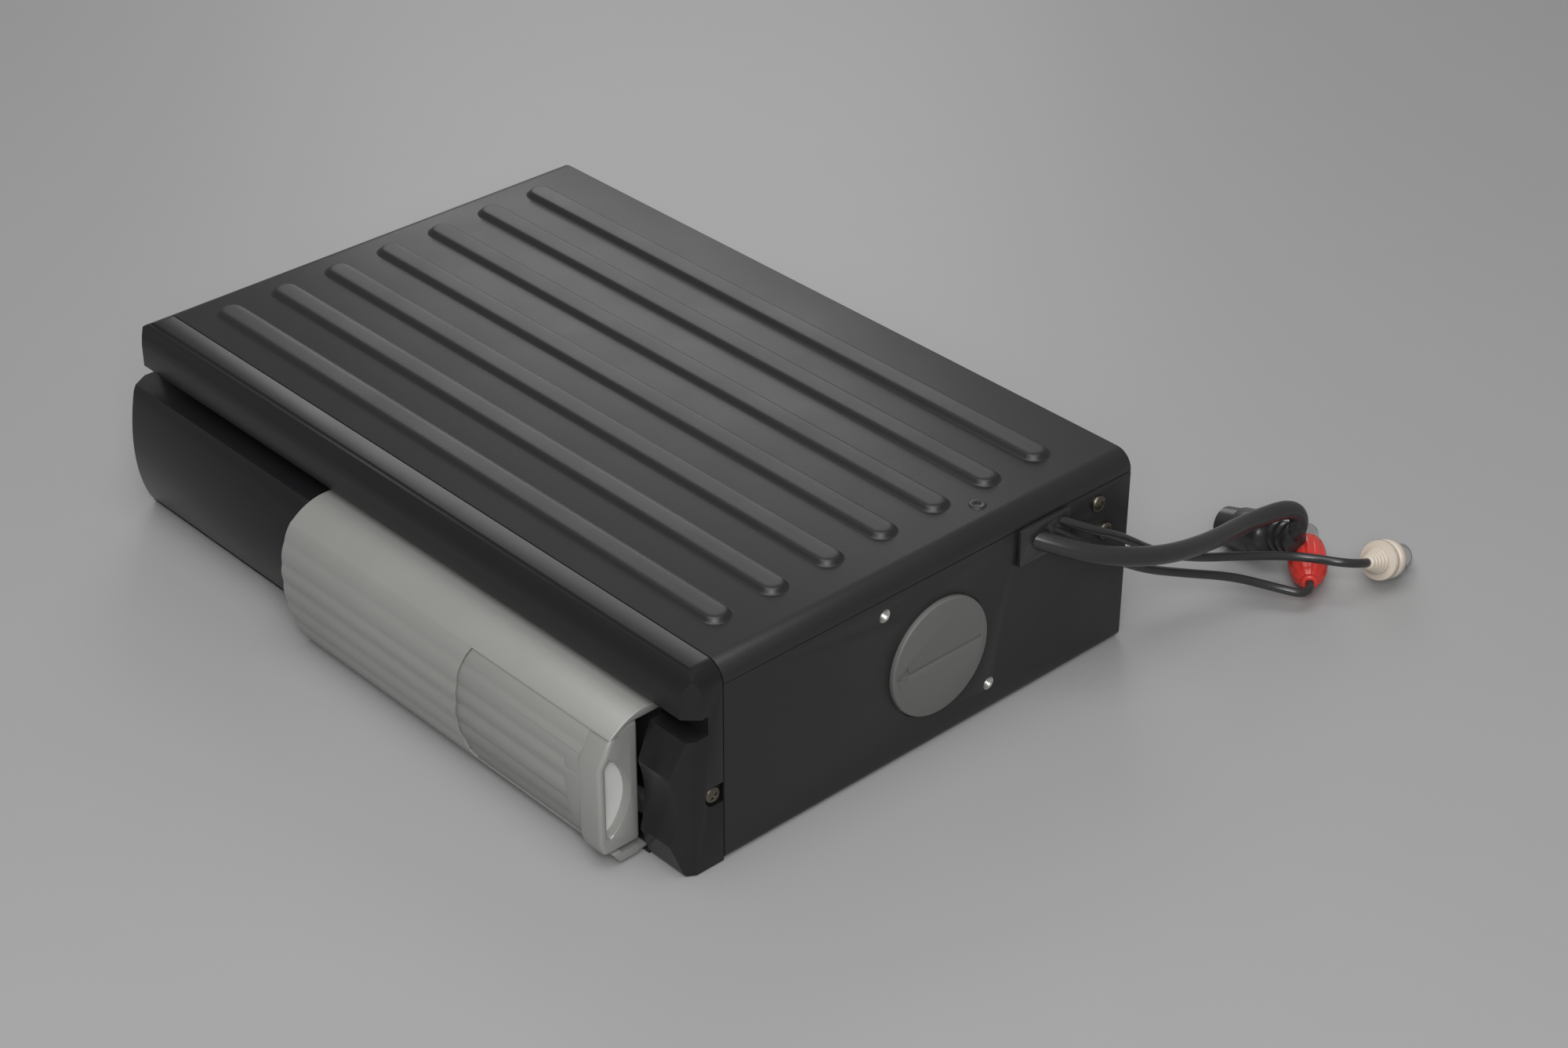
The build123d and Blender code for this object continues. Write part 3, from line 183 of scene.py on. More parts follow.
# %% [markdown]
# ## The cables
# The thick cable and the two thin ones are cords: their line is settled before anything rests on
# it. Each is a smooth NURBS curve through the same route as its solid, with a round bevel.

# %% Cords
MAIN_CORD = 5.7
SIGNAL_CORD = 2.7
main_route = [
    (126.2, 115.9, 51.0),
    (133.7, 121.9, 48.6),
    (141.2, 132.2, 44.6),
    (145.2, 151.2, 38.4),
    (144.0, 173.6, 33.0),
    (139.8, 195.4, 28.5),
    (141.3, 217.6, 25.8),
    (143.1, 216.8, 14.7),
    (133.8, 216.9, 11.8),
]
white_route = [
    (126.2, 123.8, 54.4),
    (133.4, 131.4, 50.6),
    (134.6, 144.4, 43.0),
    (136.6, 157.6, 32.8),
    (137.4, 175.0, 23.6),
    (140.6, 194.2, 17.4),
    (149.0, 209.6, 14.8),
    (164.3, 216.3, 15.9),
    (163.3, 224.1, 12.8),
]
red_route = [
    (126.2, 120.7, 52.9),
    (131.4, 129.0, 47.0),
    (132.4, 140.4, 37.6),
    (132.4, 156.6, 25.6),
    (134.6, 174.0, 17.4),
    (140.6, 189.6, 12.2),
    (147.6, 199.0, 8.0),
    (158.0, 205.4, 6.6),
    (153.4, 210.5, 6.6),
]


def lay_cord(name, route, diameter, node):
    """Cord as one NURBS curve on the route's points, standing for its CAD solid."""
    line = bpy.data.curves.new(name, "CURVE")
    line.dimensions = "3D"
    spline = line.splines.new("NURBS")
    spline.points.add(len(route) - 1)
    for point, place in zip(spline.points, route):
        point.co = (*at(*place), 1.0)
    spline.order_u = 3
    spline.use_endpoint_u = True
    line.resolution_u = 12
    line.bevel_depth = diameter / 2 * MM
    line.bevel_resolution = 6
    line.use_fill_caps = True
    line.materials.append(FINISHES["black_pvc"])
    cord = bpy.data.objects.new(name, line)
    bpy.context.scene.collection.objects.link(cord)
    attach(cord, "case")
    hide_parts(node)
    return cord


thick_cable = lay_cord("thick_cable", main_route, MAIN_CORD, "main_cable")
thin_cord_white = lay_cord("thin_cord_white", white_route, SIGNAL_CORD, "white_cord")
thin_cord_red = lay_cord("thin_cord_red", red_route, SIGNAL_CORD, "red_cord")
print("cords laid: 3")

# %% [markdown]
# ## Working by hand
# The pieces are shaped in edit mode with operators, as by hand. An operator works on whatever is
# selected, so each helper starts from nothing selected. At the end a piece gets soft shading, its
# finish, and the body that carries it.


# %% Helpers for modelling
def nothing_selected():
    """Object mode, with nothing selected."""
    if bpy.context.object and bpy.context.object.mode != "OBJECT":
        bpy.ops.object.mode_set(mode="OBJECT")
    bpy.ops.object.select_all(action="DESELECT")


def take(piece):
    """Make one piece the only selected and active one."""
    nothing_selected()
    piece.select_set(True)
    bpy.context.view_layer.objects.active = piece


def pick_faces(piece, test):
    """In edit mode, select only the faces for which the test is true."""
    bpy.ops.mesh.select_all(action="DESELECT")
    bpy.ops.object.mode_set(mode="OBJECT")
    for face in piece.data.polygons:
        face.select = test(face)
    bpy.ops.object.mode_set(mode="EDIT")


def pick_edges(piece, test):
    """In edit mode, select only the edges whose two ends pass the test."""
    bpy.ops.mesh.select_mode(type="EDGE")
    bpy.ops.mesh.select_all(action="DESELECT")
    bpy.ops.object.mode_set(mode="OBJECT")
    for edge in piece.data.edges:
        first, second = (piece.data.vertices[v].co for v in edge.vertices)
        edge.select = test(first, second)
    bpy.ops.object.mode_set(mode="EDIT")
    bpy.ops.mesh.select_mode(type="EDGE")


def settle(piece):
    """Put the piece's place, turn and scale into its mesh."""
    take(piece)
    bpy.ops.object.transform_apply(location=True, rotation=True, scale=True)


def outward(piece):
    """Merge doubles and turn every face outwards."""
    take(piece)
    bpy.ops.object.mode_set(mode="EDIT")
    bpy.ops.mesh.select_all(action="SELECT")
    bpy.ops.mesh.remove_doubles(threshold=0.005 * MM)
    bpy.ops.mesh.normals_make_consistent(inside=False)
    bpy.ops.object.mode_set(mode="OBJECT")


def apply_modifier(piece, kind, **settings):
    """Add one modifier and apply it at once."""
    take(piece)
    modifier = piece.modifiers.new(kind.lower(), kind)
    for name, value in settings.items():
        setattr(modifier, name, value)
    bpy.ops.object.modifier_apply(modifier=modifier.name)


def soften(piece, width, segments=2, angle=40.0):
    """Round the sharp edges a little, and shade the rest smooth."""
    apply_modifier(
        piece,
        "BEVEL",
        width=width * MM,
        segments=segments,
        limit_method="ANGLE",
        angle_limit=math.radians(angle),
        use_clamp_overlap=True,
    )
    take(piece)
    bpy.ops.object.shade_smooth_by_angle(angle=math.radians(35))


def dress(piece, name, slot, body, *replaced, material=None):
    """Name a finished piece, give it its finish and say what carries it."""
    piece.name = name
    piece.data.materials.clear()
    piece.data.materials.append(material or FINISHES[slot])
    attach(piece, body)
    if replaced:
        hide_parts(*replaced)
    print(name, "has", len(piece.data.polygons), "faces")
    return piece


def join(first, *rest):
    """Join several pieces into the first one."""
    take(first)
    for piece in rest:
        piece.select_set(True)
    bpy.ops.object.join()
    return first


def again(piece, offset):
    """A copy of a piece with its own mesh, moved by an offset in metres."""
    copy = piece.copy()
    copy.data = piece.data.copy()
    bpy.context.scene.collection.objects.link(copy)
    copy.location = offset
    settle(copy)
    return copy


print("helpers ready")

# %% [markdown]
# ## The lid
# The real lid is one sheet of steel: the two long edges are rolled down over the sides, and seven
# ribs are pressed up out of it to stop it from drumming. A box gives the sheet. Its long top edges
# are bevelled round, its front and underside are deleted, and Solidify gives the sheet's wall.

# %% The lid's sheet
COVER_CORNER = 5.7
SEAM_GAP = 0.4
SHEET = 1.0


def add_box(x0, x1, behind0, behind1, z0, z1):
    """A box between two corners, given in millimetres from the seam."""
    nothing_selected()
    middle = at((x0 + x1) / 2, (behind0 + behind1) / 2, (z0 + z1) / 2)
    bpy.ops.mesh.primitive_cube_add(size=1.0, location=middle)
    box = bpy.context.object
    box.scale = ((x1 - x0) * MM, (behind1 - behind0) * MM, (z1 - z0) * MM)
    settle(box)
    return box


lid = add_box(-HALF_WIDTH, HALF_WIDTH, SEAM_GAP, REAR, SKIRT_Z, LID_TOP)
bpy.ops.object.mode_set(mode="EDIT")
top = at(0, 0, LID_TOP).z
pick_edges(
    lid,
    lambda a, b: min(a.z, b.z) > top - 0.1 * MM and abs(a.x - b.x) < 0.1 * MM,
)
bpy.ops.mesh.bevel(offset=COVER_CORNER * MM, segments=10, affect="EDGES")
bpy.ops.mesh.select_mode(type="FACE")
pick_faces(lid, lambda face: face.normal.z < -0.9 or face.normal.y < -0.9)
bpy.ops.mesh.delete(type="FACE")
bpy.ops.object.mode_set(mode="OBJECT")
outward(lid)
apply_modifier(lid, "SOLIDIFY", thickness=SHEET * MM, offset=-1.0, use_even_offset=True)
soften(lid, 0.3, segments=2, angle=50.0)
print("lid sheet:", len(lid.data.polygons), "faces")

# %% [markdown]
# A rib starts as a flat disc. Its two halves are moved apart into a long shape with round ends,
# and its face is inset again and again, rising a little each time. The first and last steps are
# nearly flat, so the steel flows out of the sheet and over the crown without a hard line. The
# disc lies a hair below the sheet, so that the two faces don't fight where the rib begins.

# %% One rib, and its six copies
RIB_COUNT = 7
RIB_PITCH = 20.1
RIB_FIRST = 14.0
RIB_X = -1.5
RIB_LENGTH = 231.6
RIB_FOOT = 5.5
SUNK = 0.02
RIB_STEPS = [
    (0.55, 0.02),
    (0.40, 0.12),
    (0.35, 0.34),
    (0.45, 0.58),
    (0.35, 0.32),
    (0.40, 0.14),
    (0.60, 0.05),
    (0.90, 0.02),
]


def disc(x, behind, z, radius, corners):
    """A flat disc facing up, at a place in millimetres from the seam."""
    nothing_selected()
    bpy.ops.mesh.primitive_circle_add(
        vertices=corners,
        radius=radius * MM,
        fill_type="NGON",
        location=at(x, behind, z),
        rotation=(0, 0, math.pi / corners),
    )
    piece = bpy.context.object
    settle(piece)
    return piece


def raise_steps(piece, steps):
    """Inset the top face step by step, each step given as (inwards, up)."""
    take(piece)
    bpy.ops.object.mode_set(mode="EDIT")
    bpy.ops.mesh.select_mode(type="FACE")
    bpy.ops.mesh.select_all(action="SELECT")
    for inwards, rise in steps:
        bpy.ops.mesh.inset(thickness=inwards * MM, depth=rise * MM)
    bpy.ops.object.mode_set(mode="OBJECT")


rib = disc(RIB_X, RIB_FIRST, LID_TOP - SUNK, RIB_FOOT, 40)
middle_x = RIB_X * MM
reach = (RIB_LENGTH / 2 - RIB_FOOT) * MM
for vertex in rib.data.vertices:
    vertex.co.x += reach if vertex.co.x > middle_x else -reach
raise_steps(rib, RIB_STEPS)
ribs = [rib] + [again(rib, (0, i * RIB_PITCH * MM, 0)) for i in range(1, RIB_COUNT)]
print("ribs:", len(ribs))

# %% [markdown]
# Near the right edge the sheet has one small raised ring with a hole. It is made the same way:
# the steps go up over the ring, level across it, and down into the hole.

# %% The small ring, and the whole lid
RING_STEPS = [
    (0.3, 0.02),
    (0.25, 0.25),
    (0.2, 0.08),
    (0.7, 0.0),
    (0.2, -0.1),
    (0.3, 0.0),
    (0.25, -0.6),
]
ring = disc(117.3, 103.2, LID_TOP - SUNK, 2.9, 28)
raise_steps(ring, RING_STEPS)
join(lid, *ribs, ring)
take(lid)
bpy.ops.object.shade_smooth_by_angle(angle=math.radians(40))
dress(lid, "ribbed_lid", "black_steel", "case", "top_cover")

# %% [markdown]
# ## Soft edges on the drawn pieces
# The bezel, the door, the chassis and the dials have the right form in the solid model, but its
# edges are knife sharp, and no moulding or folded sheet has such edges. A copy of each mesh is
# merged, its flat faces are joined again, and every sharp edge is rounded, so that it catches
# the light.


# %% Copy a drawn piece and round its edges
def merged_copy(node):
    """Copy of a node's mesh with its doubles merged and its flat faces whole again."""
    source = nodes[node]
    copy = source.copy()
    copy.data = source.data.copy()
    for key in list(copy.keys()):
        del copy[key]
    bpy.context.scene.collection.objects.link(copy)
    copy.parent = None
    copy.matrix_world = Matrix.Identity(4)
    take(copy)
    bpy.ops.object.mode_set(mode="EDIT")
    bpy.ops.mesh.select_all(action="SELECT")
    bpy.ops.mesh.remove_doubles(threshold=0.002 * MM)
    bpy.ops.mesh.dissolve_limited(angle_limit=math.radians(0.5))
    bpy.ops.object.mode_set(mode="OBJECT")
    return copy


def rounded(node, name, width, segments=2, angle=30.0, reshape=None):
    """Stand-in for a node: the same form, with its sharp edges rounded."""
    copy = merged_copy(node)
    if reshape:
        reshape(copy)
    soften(copy, width, segments, angle)
    body = next(b for b, members in BODIES.items() if node in members)
    return dress(copy, name, slot_of[node], body, node)


def circle_through(start, middle, end):
    """Centre and radius of the circle through three (behind, z) places."""
    (ax, ay), (bx, by), (cx, cy) = start, middle, end
    d = 2 * (ax * (by - cy) + bx * (cy - ay) + cx * (ay - by))
    a2, b2, c2 = ax * ax + ay * ay, bx * bx + by * by, cx * cx + cy * cy
    ux = (a2 * (by - cy) + b2 * (cy - ay) + c2 * (ay - by)) / d
    uy = (a2 * (cx - bx) + b2 * (ax - cx) + c2 * (bx - ax)) / d
    return (ux, uy), math.hypot(ax - ux, ay - uy)


print("pieces drawn in the frame:", len(nodes))


# %% [markdown]
# The door's flutes are drawn deeper than the moulding shows them. Their valleys lie on two arcs,
# so each vertex of a flute is pushed out along its arc's radius, the valleys most and the crowns
# not at all, and the flutes come out half as deep.

# %% The drawn pieces, each with its own width of edge
BELLY = (-27.32, 27.0)
UPPER_ARC = circle_through((-22.6, 42.4), (-26.2, 35.6), BELLY)
LOWER_ARC = circle_through(BELLY, (-26.2, 13.6), (-21.4, 1.0))
FLUTE_CROWN = 0.5


def calm_flutes(piece, set_back=0.0):
    """Make the flutes half as deep, on a piece that lies a little behind the door's face."""
    moved = 0
    for vertex in piece.data.vertices:
        behind, z = vertex.co.y / MM - SEAM_Y - set_back, vertex.co.z / MM
        (centre_b, centre_z), radius = UPPER_ARC if z > BELLY[1] else LOWER_ARC
        reach = math.hypot(behind - centre_b, z - centre_z)
        proud = reach - radius
        if -0.03 < proud < 0.8 and 2.0 < z < 42.3 and behind < centre_b:
            push = max(0.0, (FLUTE_CROWN - proud) / 2) / reach
            vertex.co.y += (behind - centre_b) * push * MM
            vertex.co.z += (z - centre_z) * push * MM
            moved += 1
    print("flute vertices moved:", moved)


BODIES = frame["record"]["behaviour"]["bodies"]
rounded("chassis", "case_shell", 0.25)
rounded("front_bezel", "black_bezel", 0.5, segments=3)
rounded("door_shell", "silver_door", 0.5, segments=3, reshape=calm_flutes)
rounded("dial_right", "right_side_dial", 0.15)
rounded("dial_left", "left_side_dial", 0.15)
rounded("eject_button", "eject_key", 0.2)
rounded("magazine_case", "magazine_shell", 0.3)
rounded("cable_gland", "notch_gland", 0.4)

# %% [markdown]
# ## The grip
# At its right end the door has a block to pull by, with a finger recess in the end face. The
# flutes stop in front of it in a smooth band. The fluted panel is the drawn one, cut off where the
# band begins. The band and the block are bars: a disc's corners are moved to the places of the
# section, it is extruded sideways, and its edges are rounded.


# %% Bars with a section
def bow(start, middle, end, steps):
    """Places along the circle through three (behind, z) places, from the first to the last."""
    (centre_b, centre_z), radius = circle_through(start, middle, end)
    first, halfway, last = (
        math.atan2(z - centre_z, behind - centre_b) for behind, z in (start, middle, end)
    )
    through, sweep = halfway - first, last - first
    through, sweep = through % math.tau, sweep % math.tau
    if through > sweep:
        sweep -= math.tau
    turns = [first + sweep * i / steps for i in range(steps + 1)]
    return [
        (centre_b + radius * math.cos(t), centre_z + radius * math.sin(t)) for t in turns
    ]


def bar(section, x0, x1):
    """Solid bar along X with a section of (behind, z) places."""
    nothing_selected()
    bpy.ops.mesh.primitive_circle_add(vertices=len(section), radius=MM, fill_type="NGON")
    piece = bpy.context.object
    for vertex, (behind, z) in zip(piece.data.vertices, section):
        vertex.co = at(x0, behind, z)
    bpy.ops.object.mode_set(mode="EDIT")
    bpy.ops.mesh.select_all(action="SELECT")
    bpy.ops.mesh.extrude_region_move(TRANSFORM_OT_translate={"value": ((x1 - x0) * MM, 0, 0)})
    bpy.ops.object.mode_set(mode="OBJECT")
    outward(piece)
    return piece


def cut(piece, tool):
    """Take a tool's shape out of a piece, and delete the tool."""
    apply_modifier(piece, "BOOLEAN", operation="DIFFERENCE", object=tool, solver="EXACT")
    bpy.data.objects.remove(tool)


print("a half round in 8 steps has", len(bow((0, 1), (-1, 0), (0, -1), 8)), "places")

# %% The fluted panel, cut off before the block
GRIP_LEFT = 101.3
GRIP_RIGHT = 110.2
PANEL_SET_BACK = 0.6
panel = merged_copy("door_grip")
calm_flutes(panel, set_back=PANEL_SET_BACK)
cut(panel, add_box(GRIP_LEFT + 1.0, 130.0, -40.0, 0.0, 0.0, 60.0))
soften(panel, 0.3, segments=2, angle=30.0)
dress(panel, "fluted_panel", "silver_plastic", "door", "door_grip")

# %% [markdown]
# The flutes run out under a smooth band. Its front follows the door's belly, and its back stays
# inside the door's wall.

# %% The smooth band where the flutes end
BAND_LEFT = 95.4
BAND_BACK = -20.0
GRIP_FOOT = 4.9
BAND_TOP = 41.2
upper = bow((-21.7, BAND_TOP), (-26.1, 34.8), (-27.4, 27.0), 8)
lower = bow((-27.4, 27.0), (-26.3, 13.6), (-23.3, GRIP_FOOT), 10)
belly_line = [*upper, *lower[1:]]
band = bar(
    [*belly_line, (BAND_BACK, GRIP_FOOT), (BAND_BACK, BAND_TOP)], BAND_LEFT, GRIP_LEFT + 1.2
)
soften(band, 1.0, segments=4, angle=50.0)
dress(band, "flute_end_band", "silver_plastic", "door")

# %% [markdown]
# The block closes the door's end. A finger pulls at the recess in its end face, which is straight
# in front and round behind. The recess is a bar taken out of the block. A thin sheet on its floor
# carries a much lighter silver: a painted highlight for the light that falls straight into it.

# %% The block with its finger recess
BLOCK_FRONT = -27.6
BLOCK_BACK = -14.0
BLOCK_TOP = 44.0
RECESS_FRONT = -25.3
RECESS_FLOOR = 107.2
crown = bow((-17.4, BLOCK_TOP), (-21.4, 42.6), (-25.2, 37.4), 6)
face = [(BLOCK_FRONT, 33.4), (BLOCK_FRONT, 9.4), (-26.2, GRIP_FOOT)]
back_face = [(BLOCK_BACK, GRIP_FOOT), (BLOCK_BACK, BLOCK_TOP)]
block = bar([*crown, *face, *back_face], GRIP_LEFT, GRIP_RIGHT)
soften(block, 1.3, segments=5, angle=35.0)
rear_of_recess = bow((-24.2, 9.8), (-17.4, 22.6), (-23.6, 35.0), 18)
hollow = [(RECESS_FRONT, 11.2), *rear_of_recess, (RECESS_FRONT, 33.4)]
cut(block, bar(hollow, RECESS_FLOOR, GRIP_RIGHT + 2.0))
soften(block, 0.35, segments=2, angle=50.0)
dress(block, "pull_block", "silver_plastic", "door")
recess_highlight_sheet = bar(hollow, RECESS_FLOOR - 0.3, RECESS_FLOOR + 0.3)
# A much lighter copy of the door's silver, used only on the recess floor: painted light.
recess_painted_light = finish("recess_painted_highlight", (0.80, 0.80, 0.79), 0.35, 0.2, grain=2600)
soften(recess_highlight_sheet, 0.1)
dress(recess_highlight_sheet, "finger_recess_highlight", "silver_plastic", "door", material=recess_painted_light)

# %% [markdown]
# ## Turned pieces
# Plugs and screw heads are round. Each starts as a disc that is extruded along its axis, one step
# for each change of radius, then it is turned to lie on its cord or in its hole.


# %% Turn a profile
def turned(profile, sides=32):
    """Solid of revolution on the Z axis, from (radius, height) pairs in millimetres."""
    nothing_selected()
    radius, height = profile[0]
    bpy.ops.mesh.primitive_circle_add(
        vertices=sides, radius=radius * MM, fill_type="NGON", location=(0, 0, height * MM)
    )
    piece = bpy.context.object
    settle(piece)
    bpy.ops.object.mode_set(mode="EDIT")
    bpy.ops.mesh.select_all(action="SELECT")
    for (r0, z0), (r1, z1) in zip(profile, profile[1:]):
        bpy.ops.mesh.extrude_region_move(
            TRANSFORM_OT_translate={"value": (0, 0, (z1 - z0) * MM)}
        )
        bpy.ops.transform.resize(
            value=(r1 / r0, r1 / r0, 1), center_override=(0, 0, z1 * MM)
        )
    bpy.ops.object.mode_set(mode="OBJECT")
    outward(piece)
    return piece


def lay_on(piece, place, direction):
    """Move a piece from the Z axis to a place, with its axis along a direction."""
    turn_to = Vector(direction).to_track_quat("Z", "Y").to_matrix().to_4x4()
    piece.matrix_world = Matrix.Translation(place) @ turn_to
    settle(piece)


def end_of(route):
    """Last place of a route, and the direction in which it ends."""
    last, before = at(*route[-1]), at(*route[-2])
    return last, (last - before).normalized()


print("white cord ends at", [round(c, 4) for c in end_of(white_route)[0]])


# %% [markdown]
# ## The plugs
# The white plug has a soft cone with five rings, where the cord flexes, then a wide collar and a
# second one behind it. The rings are steps of the profile, each undercut, so that they show as
# dark lines from the cord's side.

# %% White plug
CONE_RINGS = 5
RING_PITCH = 1.35
RING_GROWTH = 0.42
WHITE_LENGTH = 15.0
white_profile = [(1.5, 0.0)]
for i in range(CONE_RINGS):
    ring_r = 2.1 + RING_GROWTH * i
    start = 0.3 + RING_PITCH * i
    white_profile += [(ring_r - 0.1, start), (ring_r + 0.15, start + 0.2)]
    white_profile += [(ring_r + 0.2, start + 0.7), (ring_r - 0.45, start + 0.8)]
    white_profile += [(ring_r - 0.4, start + 1.2)]
white_profile += [(4.2, 7.2), (5.9, 7.5), (6.1, 7.9), (6.1, 9.3), (5.7, 9.7), (4.4, 10.1)]
white_profile += [(4.3, 11.6), (5.6, 11.9), (6.0, 12.3), (6.0, 14.4), (5.6, 14.9)]
white_profile += [(4.2, WHITE_LENGTH)]
white_boot = turned(white_profile, 36)
lay_on(white_boot, *end_of(white_route))
take(white_boot)
bpy.ops.object.shade_smooth_by_angle(angle=math.radians(50))
dress(white_boot, "white_plug_boot", "ivory_pvc", "case", "white_plug")

# %% [markdown]
# The red plug has a ring at the cord, and its body is fluted for the grip. It is turned plain, and
# then twelve grooves are drawn in along it: a vertex in a groove moves towards the axis.

# %% Red plug
RED_FLUTES = 12
GROOVE = 0.085
RED_LENGTH = 20.0
red_profile = [(1.5, 0.0), (2.3, 0.1), (2.5, 0.5), (2.5, 1.4), (2.2, 1.8), (3.4, 2.6), (4.7, 4.2)]
red_profile += [(5.5, 6.6), (5.9, 9.6), (5.9, 14.5), (5.6, 17.6), (5.2, 19.6)]
red_profile += [(4.4, RED_LENGTH)]
red_boot = turned(red_profile, RED_FLUTES * 4)
for vertex in red_boot.data.vertices:
    if 2.5 * MM < vertex.co.z < 18.5 * MM:
        around = math.atan2(vertex.co.y, vertex.co.x)
        groove = max(0.0, -math.cos(RED_FLUTES * around)) ** 2
        vertex.co.xy *= 1 - GROOVE * groove
lay_on(red_boot, *end_of(red_route))
take(red_boot)
bpy.ops.object.shade_smooth_by_angle(angle=math.radians(60))
dress(red_boot, "red_plug_boot", "red_pvc", "case", "red_plug")

# %% [markdown]
# The thick cable ends in a round connector, with a strain relief of three ribs in front of it.
# The last steps go back down inside its mouth.

# %% Round connector
RELIEF_RIBS = 3
RELIEF_PITCH = 2.9
main_profile = [(2.9, -9.4), (3.5, -9.2)]
for i in range(RELIEF_RIBS):
    start = -9.0 + RELIEF_PITCH * i
    main_profile += [(3.6, start), (4.7, start + 0.3), (4.8, start + 1.5), (3.7, start + 1.8)]
main_profile += [(3.8, -0.2), (5.9, 0.9), (6.6, 2.0), (6.8, 2.6), (6.8, 5.4), (6.5, 5.7)]
main_profile += [(6.5, 6.3)]
main_profile += [(6.8, 6.6), (6.8, 12.2), (6.6, 12.5), (6.3, 12.7), (6.3, 18.8), (6.1, 19.0)]
main_profile += [(5.7, 19.0), (5.6, 14.6), (1.0, 14.6)]
connector = turned(main_profile, 40)
lay_on(connector, *end_of(main_route))
take(connector)
bpy.ops.object.shade_smooth_by_angle(angle=math.radians(40))
dress(connector, "round_connector", "black_pvc", "case", "main_plug")

# %% [markdown]
# Each thin plug has a nickel collar around a pin. They share one profile, laid at the end of
# each boot.

# %% Metal contacts of the two thin plugs
def contact(name, route, start, node):
    """Collar and pin of a phono plug, from a distance along the plug."""
    collar = [(3.9, -0.6), (4.1, -0.4), (4.1, 7.4), (3.9, 7.8), (3.6, 7.8), (3.6, 1.0)]
    pin = [(1.6, 1.0), (1.6, 12.4), (1.2, 13.3), (0.5, 13.5)]
    piece = turned([(radius, start + z) for radius, z in collar + pin], 32)
    lay_on(piece, *end_of(route))
    take(piece)
    bpy.ops.object.shade_smooth_by_angle(angle=math.radians(35))
    return dress(piece, name, "nickel", "case", node)


white_contact = contact("white_plug_pin", white_route, WHITE_LENGTH, "white_plug_contact")
red_contact = contact("red_plug_pin", red_route, RED_LENGTH, "red_plug_contact")

# %% [markdown]
# ## Threaded holes
# Each side has two threaded collars for a mounting bracket, whose bare thread is brighter than
# the paint. The thread is turned with a few ridges, and laid into each hole.

# %% Bare threads in the side holes
SIDE_HOLES = [(58.1, 51.5), (100.1, 9.5)]
THREAD_RIDGES = 4
THREAD_PITCH = 0.6
threads = []
for side in (-1, 1):
    for behind, z in SIDE_HOLES:
        profile = [(1.7, -2.9)]
        for ridge in range(THREAD_RIDGES):
            depth = THREAD_PITCH * ridge
            profile += [(1.98, -2.7 + depth), (1.72, -2.4 + depth)]
        profile += [(2.08, -0.3), (2.09, -3.1)]
        thread = turned(profile, 24)
        lay_on(thread, at(side * HALF_WIDTH, behind, z), (side, 0, 0))
        threads.append(thread)
threads = join(threads[0], *threads[1:])
take(threads)
bpy.ops.object.shade_smooth_by_angle(angle=math.radians(20))
dress(threads, "bare_threads", "plated_steel", "case")

# %% [markdown]
# ## Screws
# Six small cross-recess screws hold the lid and the bezel. A head is turned with a domed rim, the
# cross is cut with two small bars, and each head is turned a little differently in its place.


# %% Screw heads
HEAD_R = 2.6
BLADE = (2.5, 0.5, 1.3)
REAR_SCREWS = [(141.9, 51.7), (145.6, 41.2)]
FRONT_SCREWS = [(-3.2, 23.1)]
FRONT_SEAT_INSET = 1.2


def screw_head():
    """One head on the Z axis, its seat at z = 0, with a short shank below."""
    shank = [(1.4, -3.6), (1.4, -0.01)]
    dome = [(HEAD_R, 0.0), (HEAD_R, 0.35), (2.35, 0.8), (1.7, 1.1), (0.8, 1.2)]
    head = turned(shank + dome, 32)
    for angle in (0.0, math.pi / 2):
        nothing_selected()
        bpy.ops.mesh.primitive_cube_add(
            size=1.0, location=(0, 0, 1.1 * MM), rotation=(0, 0, angle)
        )
        blade = bpy.context.object
        blade.scale = [size * MM for size in BLADE]
        settle(blade)
        cut(head, blade)
    take(head)
    bpy.ops.object.shade_smooth_by_angle(angle=math.radians(40))
    return head


def screws_at(spots, name, node, seat):
    """The same screw in several holes on both sides."""
    heads = []
    for side in (-1, 1):
        for behind, z in spots:
            head = screw_head()
            turn_cross = Matrix.Rotation(0.35 * len(heads) + 0.3, 4, "Z")
            head.data.transform(turn_cross)
            lay_on(head, at(side * seat, behind, z), (side, 0, 0))
            heads.append(head)
    whole = join(heads[0], *heads[1:])
    return dress(whole, name, "screw_steel", "case", node)


screws_at(REAR_SCREWS, "lid_screws", "case_screws", HALF_WIDTH)
screws_at(FRONT_SCREWS, "front_screws", "bezel_screws", HALF_WIDTH - FRONT_SEAT_INSET)

# %% [markdown]
# ## Stage and light
# A plain pale table, a wide soft lamp overhead, one beside the camera and a low one behind. The
# lamp behind is what draws the ribs: it stands where the flat of the lid mirrors it to the eye,
# so that the flat shines and the ribs' flanks stay dark.

# %% Table
nothing_selected()
bpy.ops.mesh.primitive_plane_add(size=8.0, location=(0.0, 0.0, 0.0))
table = bpy.context.object
table.name = "table"
table.data.materials.append(
    finish("table_top", (0.33, 0.33, 0.33), 0.45, grain=60, wear=0.02, vary=0.008)
)
print("table:", table.dimensions.x, "m wide")

# %% [markdown]
# The world gives a faint even light from everywhere. The lamps are square and wide, so that their
# shadows are soft, and the camera doesn't see them.

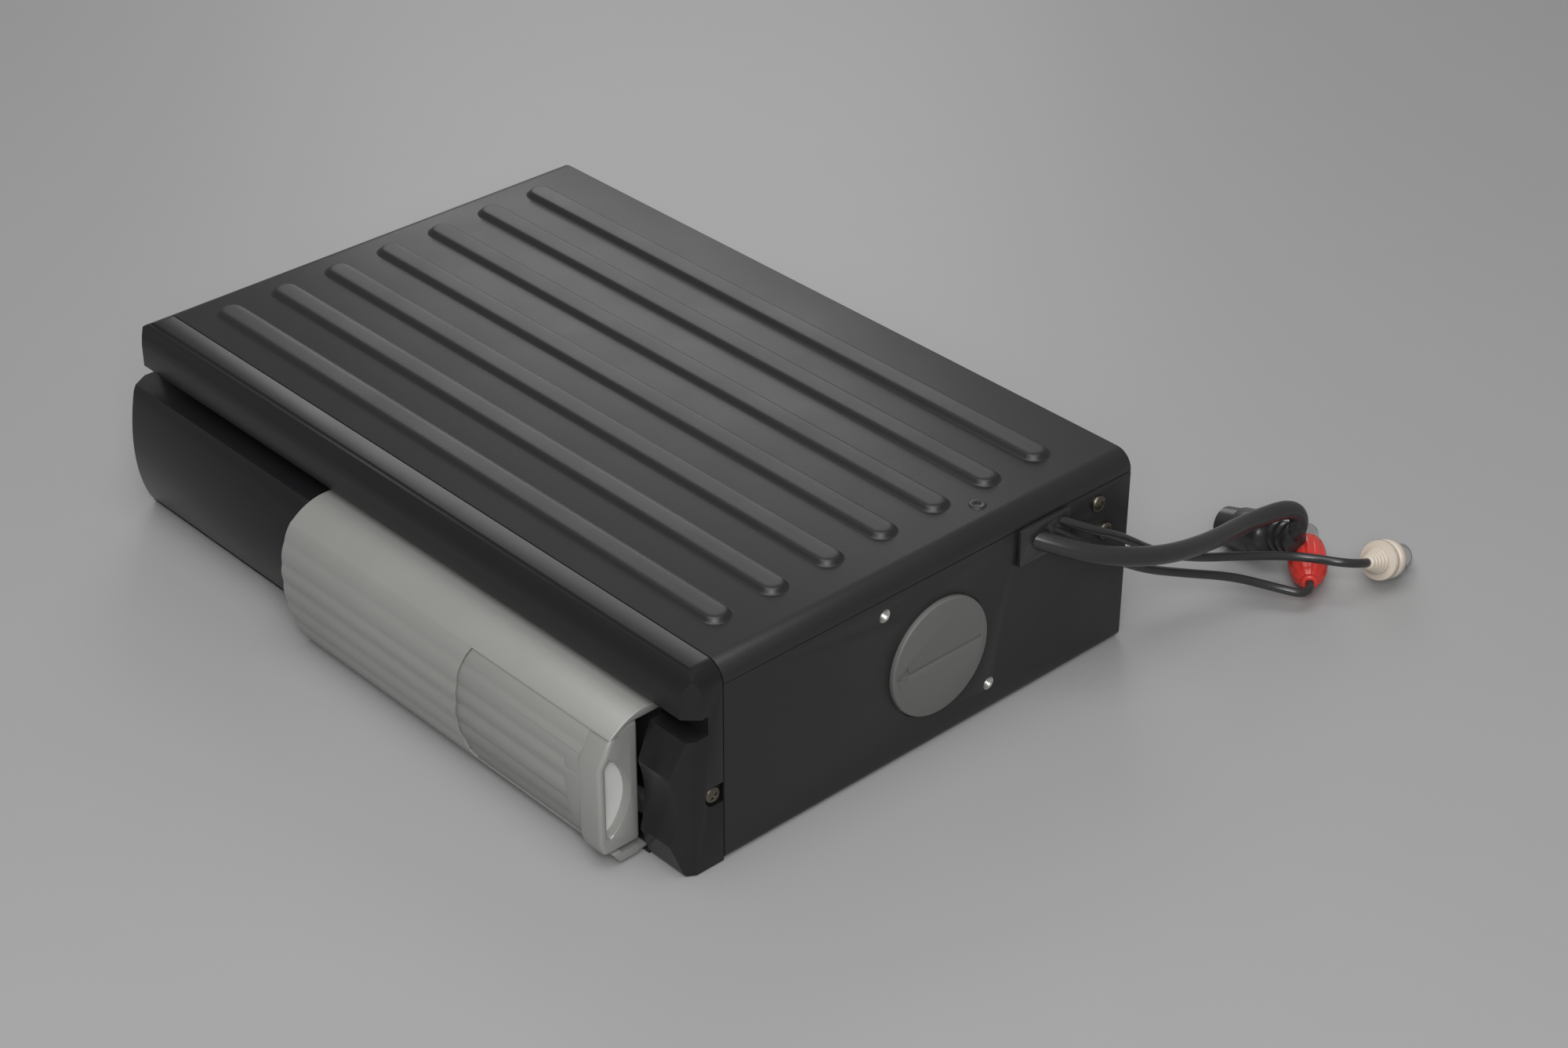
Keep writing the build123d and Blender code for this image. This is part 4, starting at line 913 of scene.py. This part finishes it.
# %% Lamps and world
WORLD_LIGHT = 0.28
world = bpy.data.worlds.new("world")
bpy.context.scene.world = world
world.use_nodes = True
world.node_tree.nodes["Background"].inputs["Color"].default_value = (1.0, 1.0, 1.0, 1.0)
world.node_tree.nodes["Background"].inputs["Strength"].default_value = WORLD_LIGHT


def soft_lamp(name, place, target, size, power):
    """Square area lamp at a place, turned to face a target."""
    data = bpy.data.lights.new(name, "AREA")
    data.shape = "SQUARE"
    data.size = size
    data.energy = power
    lamp = bpy.data.objects.new(name, data)
    bpy.context.scene.collection.objects.link(lamp)
    lamp.location = place
    lamp.visible_camera = False
    aim = Vector(target) - Vector(place)
    lamp.rotation_euler = aim.to_track_quat("-Z", "Y").to_euler()
    return lamp


soft_lamp("overhead", (0.25, -0.35, 1.5), (0, 0, 0), 1.2, 13.0)
soft_lamp("beside_camera", (0.85, -0.70, 0.85), (0.05, 0, 0.03), 0.5, 9.0)
soft_lamp("behind", (-0.74, 0.66, 0.52), (0, 0, 0.06), 0.5, 1.5)
bpy.context.scene.view_settings.view_transform = "Standard"
print("lamps: 3")

# %% [markdown]
# ## The cords' lengths
# A cord keeps its real length, so each is measured along its smooth line, and its length is
# printed.


LINE_STEPS = 40


def cord_length(route):
    """Length of the smooth line that the cord's curve draws through its control points."""
    total, here = 0.0, at(*route[0])
    for before, corner, after in zip(route, route[1:], route[2:]):
        a, b, c = at(*before), at(*corner), at(*after)
        start = a if before is route[0] else (a + b) / 2
        end = c if after is route[-1] else (b + c) / 2
        for step in range(1, LINE_STEPS + 1):
            t = step / LINE_STEPS
            spot = start * (1 - t) ** 2 + b * (2 * t * (1 - t)) + end * t * t
            total += (spot - here).length
            here = spot
    return total


for piece, route, diameter, ends in (
    (thick_cable, main_route, MAIN_CORD, [connector]),
    (thin_cord_white, white_route, SIGNAL_CORD, [white_boot, white_contact]),
    (thin_cord_red, red_route, SIGNAL_CORD, [red_boot, red_contact]),
):
    length = cord_length(route)
    print(piece.name, "is", round(length / MM, 1), "mm long")

# %% [markdown]
# ## Finish
# At the end nothing is left selected.

# %% Finish
nothing_selected()
